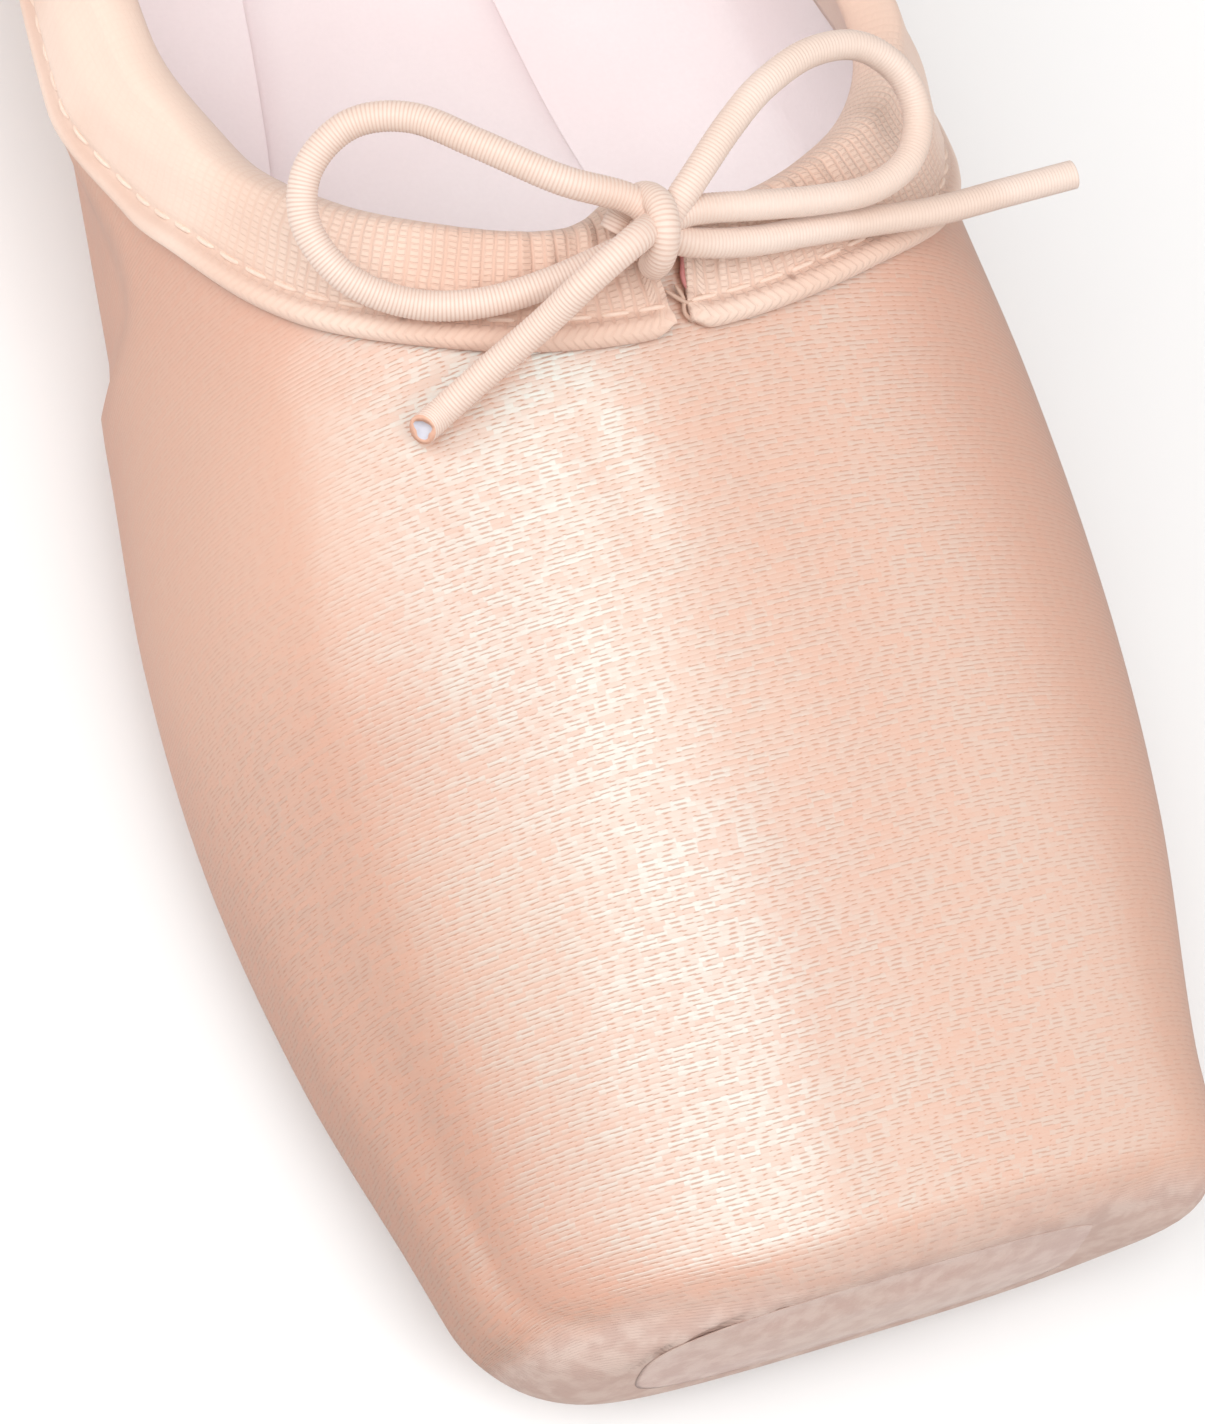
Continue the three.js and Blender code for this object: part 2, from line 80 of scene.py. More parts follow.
PATCH_HALF = 19.4
PATCH_LOW = 8.6
PATCH_HIGH = 22.6
PATCH_THICK = 0.8
PATCH_POWER = 3.2
TAPE_THICK = 0.8
TAPE_AT_THROAT = 8.0
TAPE_AT_SIDE = 10.0
TAPE_WIDENS = 24.0
TAPE_INSIDE = 7.0
TAPE_INNER_CLEAR = 0.15
THROAT_GAP_SHARE = 0.006
CORD = 2.3
KNOT_AT = (-1.7, 72.8, 56.1)
KNOT_AXIS = (0.924, -0.32, 0.208)

# Columns: place, half width, widest level, crown, floor power, crown power
SECTIONS = np.array((
    (0, 29.5, 14.0, 26.6, 3.0, 3.0),
    (14, 32.3, 13.4, 31.6, 3.4, 2.8),
    (30, 35.8, 12.8, 37.2, 3.8, 2.6),
    (48, 37.9, 12.3, 42.6, 4.0, 2.4),
    (66, 37.6, 12.3, 48.2, 4.0, 2.35),
    (84, 35.4, 12.8, 54.5, 3.6, 2.3),
    (112, 32.2, 14.4, 66.0, 3.0, 2.4),
    (146, 28.6, 15.5, 74.0, 2.8, 2.5),
    (180, 26.6, 16.5, 76.0, 3.2, 2.5),
    (228, 25.4, 17.0, 76.0, 3.2, 2.5),
))

# Columns: place, height of the collar edge
COLLAR = np.array((
    (75.2, 51.3), (79, 49.8), (84, 47.0), (92, 42.6), (104, 39.3),
    (125, 38.5), (155, 40.5), (190, 47.0), (215, 53.5), (232, 55.5),
))

# Columns: place, half width of the outsole before its ends are rounded
SOLE_PLAN = np.array((
    (17, 15.0), (40, 21.5), (62, 24.5), (82, 23.0), (112, 16.0),
    (145, 13.0), (175, 15.5), (198, 17.5), (216, 17.0),
))

# Routes of the cords that leave the knot
CORD_ROUTES = {
    "bow_loop_left": (
        (-3.5, 75.2, 57.3), (-8.4, 77.4, 58.2), (-13.3, 81.4, 58.2), (-17.3, 85.0, 57.4),
        (-21.4, 86.1, 56.0), (-24.8, 84.3, 54.0), (-25.8, 80.8, 52.2), (-23.9, 76.7, 51.0),
        (-19.8, 73.8, 50.6), (-15.0, 72.3, 51.4), (-9.8, 72.2, 52.6), (-4.1, 72.8, 54.3),
    ),
    "bow_loop_right": (
        (1.2, 75.3, 57.8), (5.3, 78.8, 58.8), (8.9, 81.3, 59.2), (13.4, 83.3, 58.8),
        (17.8, 83.7, 57.6), (21.0, 81.9, 55.8), (21.9, 78.8, 54.2), (20.1, 75.6, 53.6),
        (16.3, 73.8, 53.8), (11.7, 73.4, 54.6), (7.2, 73.5, 55.4), (1.4, 73.8, 56.3),
    ),
    "bow_end_left": (
        (-4.6, 71.5, 58.3), (-8.5, 69.8, 56.8), (-11.6, 68.7, 53.8), (-16.1, 67.2, 50.4),
        (-20.9, 65.4, 47.0),
    ),
    "bow_end_right": (
        (0.9, 72.0, 54.8), (5.7, 71.7, 53.6), (10.6, 72.1, 52.4), (16.5, 72.5, 51.0),
        (22.3, 72.7, 50.0), (28.8, 73.4, 49.2), (35.1, 74.0, 48.6),
    ),
}

# What each cord runs through before and after its route: inside the knot, and down to the throat
KNOT_HEART = (-1.6, 73.0, 56.4)
HIDDEN_STARTS = {
    "bow_loop_left": (KNOT_HEART,),
    "bow_loop_right": (KNOT_HEART,),
    "bow_end_left": ((1.6, 77.6, 49.6), (0.4, 76.2, 52.4), (-1.4, 73.6, 56.2)),
    "bow_end_right": ((-2.6, 77.4, 50.2), (-2.6, 75.6, 53.0), (-1.8, 73.4, 54.9)),
}
HIDDEN_ENDS = {
    "bow_loop_left": ((-1.9, 72.9, 55.4),),
    "bow_loop_right": ((-1.4, 73.4, 56.4),),
}

# Camera, as the photograph was taken
CAMERA_TARGET = (-7.658, 48.536, 25.0)
CAMERA_AZIMUTH = -45.287
CAMERA_ELEVATION = 64.305
CAMERA_ROLL = -19.635
CAMERA_DISTANCE = 320.0
LENS = 104.818
SENSOR = 36.0

MM = 0.001
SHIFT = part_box("outsole")[0].y / MM - SOLE_FRONT


def to_frame(points):
    """Shoe sizes in millimetres to the frame's metres."""
    return (np.asarray(points, float) + (0, SHIFT, 0)) * MM


def srgb(red, green, blue):
    """A colour given in 0 to 255, as the shaders take it."""
    shares = np.array((red, green, blue)) / 255
    linear = np.where(shares <= 0.04045, shares / 12.92, ((shares + 0.055) / 1.055) ** 2.4)
    return (*linear, 1.0)


def smoothstep(value, low, high):
    share = np.clip((value - low) / (high - low), 0, 1)
    return share * share * (3 - 2 * share)


def bell(value, middle, half_width):
    return np.exp(-(((value - middle) / half_width) ** 2))


def between(value, rise, fall):
    """Rises from 0 to 1 over the first limits, and falls back over the second."""
    return smoothstep(value, *rise) * (1 - smoothstep(value, *fall))


def unit(vectors):
    return vectors / np.linalg.norm(vectors, axis=-1, keepdims=True)


def circle(sides):
    return np.linspace(0, 2 * math.pi, sides, endpoint=False)


def run_lengths(points):
    """Lengths from the start of each row of points."""
    steps = np.linalg.norm(np.diff(points, axis=-2), axis=-1)
    return np.concatenate((np.zeros_like(steps[..., :1]), np.cumsum(steps, -1)), -1)


def sample(places, lengths, rows):
    """A table's rows at these lengths along it."""
    return np.stack([np.interp(places, lengths, column) for column in rows.T], -1)


def add_object(name, data):
    made = bpy.data.objects.new(name, data)
    bpy.context.scene.collection.objects.link(made)
    return made


# Camera
def make_camera():
    turn, rise, roll = (math.radians(a) for a in (CAMERA_AZIMUTH, CAMERA_ELEVATION, CAMERA_ROLL))
    back = Vector((
        math.sin(turn) * math.cos(rise),
        -math.cos(turn) * math.cos(rise),
        math.sin(rise),
    ))
    level = (-back).cross(Vector((0, 1, 0))).normalized()
    upright = level.cross(-back)
    right = level * math.cos(roll) + upright * math.sin(roll)
    up = upright * math.cos(roll) - level * math.sin(roll)
    data = bpy.data.cameras.new("camera")
    data.sensor_fit = "VERTICAL"
    data.sensor_height = SENSOR
    data.sensor_width = SENSOR
    data.lens = LENS
    data.clip_start = 0.01
    camera = add_object("camera", data)
    place = Vector(to_frame(CAMERA_TARGET)) + back * CAMERA_DISTANCE * MM
    camera.matrix_world = Matrix.Translation(place) @ Matrix((right, up, back)).transposed().to_4x4()
    bpy.context.scene.camera = camera


# Threads and stitches that both the shapes and the finishes follow
WRAP_PITCH = 0.3
SELVEDGE = 2.0
STITCH_LINE = 2.3
STITCH_PITCH = 2.5


# Materials
class Graph:
    """A material's nodes, made by short calls that give sockets back."""

    def __init__(self, name):
        self.material = bpy.data.materials.new(name)
        self.material.use_nodes = True
        self.tree = self.material.node_tree
        self.shader = self.tree.nodes["Principled BSDF"]

    def put(self, socket, value):
        if isinstance(value, bpy.types.NodeSocket):
            self.tree.links.new(value, socket)
        else:
            socket.default_value = value

    def add(self, kind, *values, **settings):
        node = self.tree.nodes.new("ShaderNode" + kind)
        for name, setting in settings.items():
            setattr(node, name, setting)
        for socket, value in zip(node.inputs, values):
            if value is not None:
                self.put(socket, value)
        return node

    def feed(self, node, **values):
        """Gives a node's inputs by their names."""
        for name, value in values.items():
            self.put(node.inputs[name.replace("_", " ")], value)
        return node

    def math(self, operation, *values):
        return self.add("Math", *values, operation=operation).outputs[0]

    def plus(self, first, second):
        return self.math("ADD", first, second)

    def minus(self, first, second):
        return self.math("SUBTRACT", first, second)

    def times(self, first, second):
        return self.math("MULTIPLY", first, second)

    def over(self, first, second):
        return self.math("DIVIDE", first, second)

    def apart(self, first, second):
        """Distance between two numbers."""
        return self.math("ABSOLUTE", self.minus(first, second))

    def cloth(self):
        """The two cloth coordinates in millimetres: along and across."""
        split = self.add("SeparateXYZ", self.add("UVMap", uv_map="cloth").outputs[0])
        return split.outputs[0], split.outputs[1]

    def vector(self, *values):
        return self.add("CombineXYZ", *values).outputs[0]

    def place(self):
        return self.add("TexCoord").outputs["Object"]

    def noise(self, where, scale, detail=2.0):
        node = self.feed(self.add("TexNoise"), Vector=where, Scale=scale, Detail=detail)
        return node.outputs[0]

    def random(self, where):
        node = self.add("TexWhiteNoise", noise_dimensions="3D")
        return self.feed(node, Vector=where).outputs["Value"]

    def step(self, value, low, high, start=0.0, end=1.0):
        node = self.add("MapRange", value, low, high, start, end, interpolation_type="SMOOTHSTEP")
        return node.outputs[0]

    def mix(self, share, first, second, blend="MIX"):
        node = self.add("Mix", data_type="RGBA", blend_type=blend)
        self.put(node.inputs[0], share)
        self.put(node.inputs[6], first)
        self.put(node.inputs[7], second)
        return node.outputs[2]

    def from_middle(self, value):
        """Distance of a number's fraction from one half."""
        return self.apart(self.math("FRACT", value), 0.5)

    def tones(self, scale, limits, dark, light, detail=2.0):
        """Two close colours in soft patches."""
        share = self.step(self.noise(self.place(), scale, detail), *limits)
        return self.mix(share, srgb(*dark), srgb(*light))

    def tint(self, base, share, strength, colour):
        return self.mix(self.times(share, strength), base, srgb(*colour))

    def bump(self, height, depth, strength=1.0):
        node = self.feed(self.add("Bump"), Strength=strength, Distance=depth * MM, Height=height)
        self.feed(self.shader, Normal=node.outputs[0])

    def look(self, **values):
        self.feed(self.shader, **values)
        return self.material


def satin_material():
    row_pitch = 0.35
    dash_wave = 1.55
    thread_depth = 0.016
    graph = Graph("satin")
    along, across = graph.cloth()

    # Rows of long threads, each dash with its own place, reach and shine
    drift = graph.noise(graph.vector(along, across, 0.0), 0.05, 0.0)
    row = graph.over(graph.plus(along, graph.times(drift, 0.8)), row_pitch)
    row_number = graph.math("FLOOR", row)
    off_row = graph.from_middle(row)
    phase = graph.random(graph.vector(row_number, 3.0, 7.0))
    run = graph.plus(graph.over(across, dash_wave), phase)
    run = graph.plus(run, graph.times(row_number, 0.4))
    run_number = graph.math("FLOOR", run)
    shine = graph.random(graph.vector(row_number, run_number, 1.0))
    stray = graph.random(graph.vector(row_number, run_number, 5.0))
    reach = graph.math("MULTIPLY_ADD", shine, 0.3, 0.02)
    centre = graph.math("MULTIPLY_ADD", stray, 0.44, 0.28)
    off_centre = graph.apart(graph.math("FRACT", run), centre)
    in_dash = graph.step(graph.minus(off_centre, reach), -0.08, 0.06, 1.0, 0.0)
    to_right = graph.step(across, 12.0, 38.0, 1.0, 0.3)
    to_throat = graph.step(along, 46.0, 66.0, 1.0, 0.35)
    crisp = graph.times(to_right, graph.math("MAXIMUM", to_throat, graph.step(across, -34.0, -20.0)))
    dash = graph.times(graph.times(graph.step(off_row, 0.22, 0.45), in_dash), crisp)

    # Pink cloth, with painted shade on the left side toward the toe where it turns away from the light, and
    # worn matte on the platform
    base = graph.tones(34.0, (0.35, 0.65), (216, 164, 142), (219, 170, 148), 0.0)
    # Painted glint: shinier dashes are a little lighter in colour
    base = graph.tint(base, shine, 0.08, (240, 200, 178))
    # Painted shade: the left side is darkened toward the toe, where less light falls
    near_toe = graph.step(along, 12.0, 64.0, 1.0, 0.0)
    painted_left_shade = graph.times(graph.step(across, -36.0, -15.0, 1.0, 0.0), near_toe)
    base = graph.tint(base, painted_left_shade, 0.5, (184, 134, 112))
    # Painted shade in the sunk dashes between the floats
    base = graph.tint(base, dash, 0.42, (176, 118, 94))
    worn = graph.math("MULTIPLY_ADD", graph.noise(graph.place(), 240.0, 3.0), 4.0, along)
    matte = graph.step(worn, 0.6, 6.0, 1.0, 0.0)
    scuffed = graph.tones(520.0, (0.38, 0.64), (192, 164, 153), (203, 179, 168), 4.0)
    colour = graph.mix(matte, base, scuffed)

    # Round threads, glossier across than along
    crown = graph.minus(1.0, graph.math("POWER", graph.times(off_row, 2.0), 2.0))
    graph.bump(graph.plus(graph.minus(crown, dash), graph.times(shine, 0.5)), thread_depth, 0.8)
    tangent = graph.add("Tangent", direction_type="UV_MAP", uv_map="cloth")
    gloss = graph.math("MULTIPLY_ADD", graph.times(shine, crisp), 0.5, 0.5)
    gloss = graph.minus(gloss, graph.times(dash, 0.45))
    gloss = graph.times(gloss, graph.step(matte, 0.0, 1.0, 1.0, 0.1))
    return graph.look(
        Base_Color=colour,
        Roughness=graph.math("MULTIPLY_ADD", matte, 0.45, 0.36),
        Specular_IOR_Level=gloss,
        Specular_Tint=(0.4, 0.95, 1.0, 1.0),
        IOR=1.95,
        Anisotropic=0.6,
        Tangent=tangent.outputs[0],
    )


def lining_material():
    graph = Graph("lining")
    thread = graph.noise(graph.place(), 2600.0, 3.0)
    colour = graph.tones(28.0, (0.3, 0.7), (243, 230, 231), (248, 240, 241))
    colour = graph.tint(colour, thread, 0.1, (206, 186, 186))
    graph.bump(thread, 0.06, 0.5)
    return graph.look(Base_Color=colour, Roughness=0.85, Sheen_Weight=0.15)


def suede_material():
    graph = Graph("suede")
    broad = graph.step(graph.noise(graph.place(), 90.0, 3.0), 0.4, 0.66)
    colour = graph.tones(520.0, (0.38, 0.64), (186, 155, 144), (198, 172, 161), 4.0)
    colour = graph.tint(colour, broad, 0.3, (196, 177, 163))
    graph.bump(graph.noise(graph.place(), 3200.0, 4.0), 0.09, 0.7)
    return graph.look(Base_Color=colour, Roughness=0.95, Sheen_Weight=0.25, Specular_IOR_Level=0.2)


def leather_material():
    graph = Graph("sole_leather")
    cells = graph.add("TexVoronoi", feature="DISTANCE_TO_EDGE")
    graph.feed(cells, Vector=graph.place(), Scale=900.0)
    grain = graph.step(cells.outputs["Distance"], 0.0, 0.12)
    fibre = graph.noise(graph.place(), 2200.0, 3.0)
    colour = graph.tones(45.0, (0.35, 0.68), (205, 172, 134), (219, 189, 152), 4.0)
    colour = graph.tint(colour, fibre, 0.25, (181, 143, 103))
    graph.bump(graph.plus(grain, fibre), 0.05, 0.6)
    return graph.look(Base_Color=colour, Roughness=0.62)


def tape_material():
    rib_pitch = 0.86
    line_pitch = 0.47
    chain_pitch = 0.62
    graph = Graph("tape")
    along, across = graph.cloth()

    # Ribs and cross lines, and a chain of loops along the edge, all fading away from the throat
    drift = graph.noise(graph.vector(along, across, 0.0), 0.25)
    wavy = graph.plus(along, graph.times(drift, 0.6))
    rib = graph.from_middle(graph.over(wavy, rib_pitch))
    line = graph.from_middle(graph.over(across, line_pitch))
    valley = graph.times(graph.step(rib, 0.24, 0.46), 0.9)
    crossing = graph.times(graph.step(line, 0.28, 0.46), 0.6)
    gathered = graph.step(along, 22.0, 40.0, 1.0, 0.12)
    weave = graph.times(graph.math("MAXIMUM", valley, crossing), gathered)
    chain = graph.math("MULTIPLY_ADD", graph.apart(across, SELVEDGE / 2), 0.6, along)
    chain = graph.step(graph.from_middle(graph.over(chain, chain_pitch)), 0.24, 0.46)
    chain = graph.times(chain, graph.times(gathered, 0.4))
    in_edge = graph.step(across, SELVEDGE - 0.2, SELVEDGE + 0.2, 1.0, 0.0)
    knit = graph.plus(graph.times(chain, in_edge), graph.times(weave, graph.minus(1.0, in_edge)))

    # Cream cotton, shaded in the valleys, along the stitch line and at pulled needle holes
    colour = graph.tones(60.0, (0.35, 0.65), (223, 191, 173), (231, 205, 189))
    colour = graph.tint(colour, knit, 0.34, (206, 158, 136))
    off_line = graph.apart(across, STITCH_LINE)
    colour = graph.tint(colour, graph.step(off_line, 0.1, 0.9, 1.0, 0.0), 0.42, (196, 160, 143))
    end = graph.step(graph.from_middle(graph.over(along, STITCH_PITCH)), 0.34, 0.48)
    pulled = graph.step(graph.noise(graph.vector(along, 0.0, 0.0), 0.21), 0.45, 0.6)
    pulled = graph.times(pulled, graph.step(along, 16.0, 30.0, 1.0, 0.0))
    pin = graph.times(graph.step(off_line, 0.15, 0.5, 1.0, 0.0), graph.times(end, pulled))
    colour = graph.tint(colour, pin, 0.6, (150, 116, 102))
    fuzz = graph.noise(graph.place(), 3000.0, 3.0)
    graph.bump(graph.minus(graph.times(fuzz, 0.3), knit), 0.11, 0.8)
    return graph.look(Base_Color=colour, Roughness=0.78, Sheen_Weight=0.2)


def elastic_material():
    graph = Graph("elastic")
    along, across = graph.cloth()
    thread = graph.noise(graph.vector(graph.times(along, 6.0), across, 0.0), 1.2)
    # Painted shade in the grooves between the wraps of thread, weaker on the right
    groove = graph.step(graph.from_middle(graph.over(along, WRAP_PITCH)), 0.2, 0.42)
    to_right = graph.add("SeparateXYZ", graph.place()).outputs[0]
    groove = graph.times(groove, graph.step(to_right, -0.004, 0.006, 1.0, 0.3))
    colour = graph.tones(90.0, (0.35, 0.65), (226, 204, 190), (232, 213, 201))
    colour = graph.tint(colour, groove, 0.4, (190, 142, 119))
    colour = graph.tint(colour, thread, 0.2, (204, 164, 142))
    graph.bump(thread, 0.03, 0.5)
    return graph.look(Base_Color=colour, Roughness=0.5, Sheen_Weight=0.15)


def plain_material(name, dark, light, scale, rough):
    """A small part's finish: two close tones, mottled at the given scale."""
    graph = Graph(name)
    speck = graph.noise(graph.place(), scale, 3.0)
    graph.bump(speck, 0.04, 0.5)
    return graph.look(Base_Color=graph.mix(speck, srgb(*dark), srgb(*light)), Roughness=rough)


# Meshes
def loft(loops, closed):
    """Faces of a row of closed loops, each of one size, with flat ends where the row is open."""
    count, size = loops.shape[:2]
    column = np.arange(count if closed else count - 1)[:, None]
    here = np.arange(size)[None, :]
    after = (here + 1) % size
    beside = (column + 1) % count * size
    column = column * size
    quads = np.stack((column + here, beside + here, beside + after, column + after), -1)
    faces = [quads.reshape(-1, 4)]
    if not closed:
        faces.append(np.arange(size)[None, :])
        faces.append((count - 1) * size + np.arange(size)[None, ::-1])
    return faces


def add_piece(name, points, faces, materials, replaced=(), uv=None, finish=None, signed=False):
    """Makes a mesh from points in millimetres, and hangs it on the shoe's one body.
    finish gives each face's material, and uv each point's cloth coordinates.
    Where signed is set, the second coordinate is negative on faces left of the middle."""
    points = np.asarray(points, float).reshape(-1, 3)
    sizes = np.concatenate([np.full(len(f), f.shape[1]) for f in faces])
    corners = np.concatenate([f.ravel() for f in faces])
    mesh = bpy.data.meshes.new(name)
    mesh.vertices.add(len(points))
    mesh.vertices.foreach_set("co", to_frame(points).astype(np.float32).ravel())
    mesh.loops.add(len(corners))
    mesh.loops.foreach_set("vertex_index", corners.astype(np.int32))
    mesh.polygons.add(len(sizes))
    mesh.polygons.foreach_set("loop_start", (np.cumsum(sizes) - sizes).astype(np.int32))
    for material in materials:
        mesh.materials.append(material)
    if finish is not None:
        mesh.polygons.foreach_set("material_index", np.asarray(finish, np.int32))
    mesh.polygons.foreach_set("use_smooth", np.ones(len(sizes), bool))
    if uv is not None:
        cloth = np.asarray(uv, float).reshape(-1, 2)[corners]
        if signed:
            middles = np.concatenate([points[f, 0].mean(1) for f in faces])
            side = np.repeat(np.sign(middles), sizes)
            cloth = cloth * np.stack((np.ones_like(side), side), -1)
        layer = mesh.uv_layers.new(name="cloth")
        layer.data.foreach_set("uv", cloth.astype(np.float32).ravel())
    mesh.update(calc_edges=True)
    piece = add_object(name, mesh)
    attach(piece, "root")
    if replaced:
        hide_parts(*replaced)
    return piece


# Cords
SPAN_POINTS = 40


def curve_through(points, spacing):
    """A smooth line through the points, cut at equal distances."""
    points = np.asarray(points, float)
    padded = np.vstack((2 * points[0] - points[1], points, 2 * points[-1] - points[-2]))
    t = np.linspace(0, 1, SPAN_POINTS, endpoint=False)[:, None]
    fine = []
    for a, b, c, d in zip(padded, padded[1:], padded[2:], padded[3:]):
        curve = 2 * b + (c - a) * t + (2 * a - 5 * b + 4 * c - d) * t**2 + (3 * b - a - 3 * c + d) * t**3
        fine.append(curve / 2)
    fine = np.vstack((*fine, points[-1:]))
    lengths = run_lengths(fine)
    places = np.linspace(0, lengths[-1], max(int(lengths[-1] / spacing), 2) + 1)
    return sample(places, lengths, fine), lengths[-1]


def carried_frames(line):
    """Directions across a line, turned as little as possible from one point to the next."""
    forward = unit(np.gradient(line, axis=0))
    side = np.zeros_like(line)
    start = np.cross(forward[0], (0.0, 0.0, 1.0))
    side[0] = unit(start if np.linalg.norm(start) > 0.1 else np.cross(forward[0], (0.0, 1.0, 0.0)))
    for i in range(1, len(line)):
        side[i] = unit(side[i - 1] - forward[i] * (side[i - 1] @ forward[i]))
    return forward, side, np.cross(forward, side)


def rings(turn, side, up):
    """Directions all round each point of a line."""
    return np.cos(turn)[None, :, None] * side[:, None] + np.sin(turn)[None, :, None] * up[:, None]


WRAP_DEPTH = 0.045
RINGS_PER_WRAP = 4
CORD_SIDES = 20
CUT_RIM = 0.62
CUT_SINK = 0.25
CUT_REACH = 2.6
CUT_SLANTS = {"bow_end_left": 0.95, "bow_end_right": 0.2}
VIEWER = np.array((-0.308, -0.305, 0.901))


def cord_tube(line, length, slant=None):
    """A tube wound round with thread, cut open at a slant toward the viewer where the cord is bare."""
    forward, side, up = carried_frames(line)
    turn = circle(CORD_SIDES)
    run = np.linspace(0, length, len(line))
    wrap = 0.5 - 0.5 * np.cos(2 * math.pi * (run[:, None] / WRAP_PITCH + turn[None] / (2 * math.pi)))
    radius = CORD / 2 - WRAP_DEPTH * (1 - wrap)
    ring = rings(turn, side, up)
    loops = line[:, None] + radius[..., None] * ring
    if slant:
        lean = unit(VIEWER - forward[-1] * (VIEWER @ forward[-1]))
        cut = -slant * CORD / 2 * (ring[-1] @ lean)
        share = np.clip(1 - (length - run) / CUT_REACH, 0, 1)
        loops = loops + share[:, None, None] * cut[None, :, None] * forward[-1]
    uv = np.stack(np.broadcast_arrays(run[:, None], turn[None] * CORD / 2), -1)
    finish = np.zeros((len(line) - 1) * CORD_SIDES, int)
    faces = loft(loops, False)
    points = loops.reshape(-1, 3)
    uv = uv.reshape(-1, 2)
    if slant:
        wobble = CUT_RIM * (1 + 0.16 * np.cos(3 * turn + 0.6) + 0.08 * np.cos(5 * turn))
        rim = line[-1] + wobble[:, None] * (CORD / 2 * ring[-1] + cut[:, None] * forward[-1])
        floor = rim - CUT_SINK * forward[-1] * np.ones((CORD_SIDES, 1))
        last = (len(line) - 1) * CORD_SIDES
        first = len(points)
        here = np.arange(CORD_SIDES)
        after = (here + 1) % CORD_SIDES
        deep = first + CORD_SIDES
        lip = np.stack((last + here, first + here, first + after, last + after), -1)
        well = np.stack((first + here, deep + here, deep + after, first + after), -1)
        points = np.vstack((points, rim, floor))
        uv = np.vstack((uv, uv[last:last + CORD_SIDES], uv[last:last + CORD_SIDES]))
        end = (deep + here)[None, ::-1]
        faces = [faces[0], faces[1], lip, well, end]
        finish = np.concatenate((finish, [0], np.ones(CORD_SIDES), np.full(CORD_SIDES + 1, 2)))
    else:
        finish = np.concatenate((finish, [0, 0]))
    return points, faces, uv, finish


def make_cords(elastic, cut, rubber):
    made = {}
    for name, route in CORD_ROUTES.items():
        points = (*HIDDEN_STARTS[name], *route, *HIDDEN_ENDS.get(name, ()))
        line, length = curve_through(points, WRAP_PITCH / RINGS_PER_WRAP)
        points, faces, uv, finish = cord_tube(line, length, CUT_SLANTS.get(name))
        looks = [elastic, cut, rubber] if name in CUT_SLANTS else [elastic]
        piece = add_piece(name + "_cord", points, faces, looks, [name], uv, finish)
        made[name] = piece, line, length
    return made


# Turns of the knot's wrap: angle from its top toward the viewer, distance along its axis, radius
KNOT_TURNS = np.array((
    (-85, -3.4, 2.1), (-45, -2.5, 2.5), (0, -1.2, 2.5), (45, -0.1, 2.4), (90, 0.3, 2.35),
    (135, 0.1, 2.35), (180, -0.4, 2.4), (225, -0.5, 2.35), (275, -0.4, 2.1),
))


def make_knot(elastic):
    axis = unit(np.array(KNOT_AXIS))
    front = unit(VIEWER - axis * (VIEWER @ axis))
    top = np.cross(front, axis)
    angles = np.radians(KNOT_TURNS[:, 0])[:, None]
    spokes = np.cos(angles) * top + np.sin(angles) * front
    route = np.array(KNOT_AT) + KNOT_TURNS[:, 2:] * spokes + KNOT_TURNS[:, 1:2] * axis
    line, length = curve_through(route, WRAP_PITCH / RINGS_PER_WRAP)
    points, faces, uv, finish = cord_tube(line, length)
    return add_piece("bow_knot_wrap", points, faces, [elastic], ["bow_knot"], uv, finish)


# Surface of the last
def smooth(rows, at):
    """Smooth curves through a table's columns."""
    x = rows[:, 0]
    y = rows[:, 1:]
    order = np.arange(len(x))
    before = np.maximum(order - 1, 0)
    after = np.minimum(order + 1, len(x) - 1)
    slope = (y[after] - y[before]) / (x[after] - x[before])[:, None]
    place = np.clip(at, x[0], x[-1])
    i = np.clip(np.searchsorted(x, place, side="right") - 1, 0, len(x) - 2)
    span = (x[i + 1] - x[i])[..., None]
    t = (place - x[i])[..., None] / span
    s = 1 - t
    values = s * s * (1 + 2 * t) * y[i] + t * t * (3 - 2 * t) * y[i + 1]
    return values + t * s * span * (s * slope[i] - t * slope[i + 1])


def tread_height(at):
    spring = TOE_SPRING * (1 - smoothstep(at, 0, SPRING_REACH))
    return spring + ARCH_RISE * between(at, (ARCH_FRONT, ARCH_TOP), (ARCH_TOP, ARCH_BACK))


def round_inset(at, radius):
    depth = np.clip(radius - at, 0, radius)
    return radius - np.sqrt(radius * radius - depth * depth)


def heel_depth(at, z):
    above = np.maximum(z - HEEL_BULGE, 0) / HEEL_TOP_SPAN
    back = LENGTH - HEEL_TOP_IN * above**2
    return np.maximum(at - back + HEEL_DEPTH, 0) / HEEL_DEPTH


def round_sum(a, b, power):
    return (a**power + b**power) ** (1 / power)


def shape_at(points):
    """A point in its cross-section: station, shares across and up, power, and if it is above the widest."""
    x, at, z = np.moveaxis(points, -1, 0)
    station = at - TOE_LEAN * (z - LEAN_LEVEL) * (1 - smoothstep(at, 0, LEAN_REACH))
    front = np.maximum(station, 0)
    half_width, widest, crown, floor_power, crown_power = np.moveaxis(smooth(SECTIONS, station), -1, 0)
    edge = round_inset(front, EDGE_ROUND)
    half_width = half_width - round_inset(front, CORNER_ROUND)
    floor = tread_height(station) + SOLE_THICK + FIT_GAP + edge
    above = z >= widest
    power = np.where(above, crown_power, floor_power)
    height = np.where(above, crown - edge - widest, widest - floor)
    across = round_sum(np.abs(x) / half_width, heel_depth(at, z), HEEL_POWER)
    return station, across, np.abs(z - widest) / height, power, above


def last_level(points):
    """Above zero inside the last, below zero outside it."""
    station, across, up, power, _ = shape_at(points)
    return np.minimum(1 - round_sum(across, up, power), station)


def outward(points):
    small = 0.02
    slope = [
        last_level(points - small * axis) - last_level(points + small * axis)
        for axis in np.eye(3)
    ]
    return unit(np.stack(slope, -1))


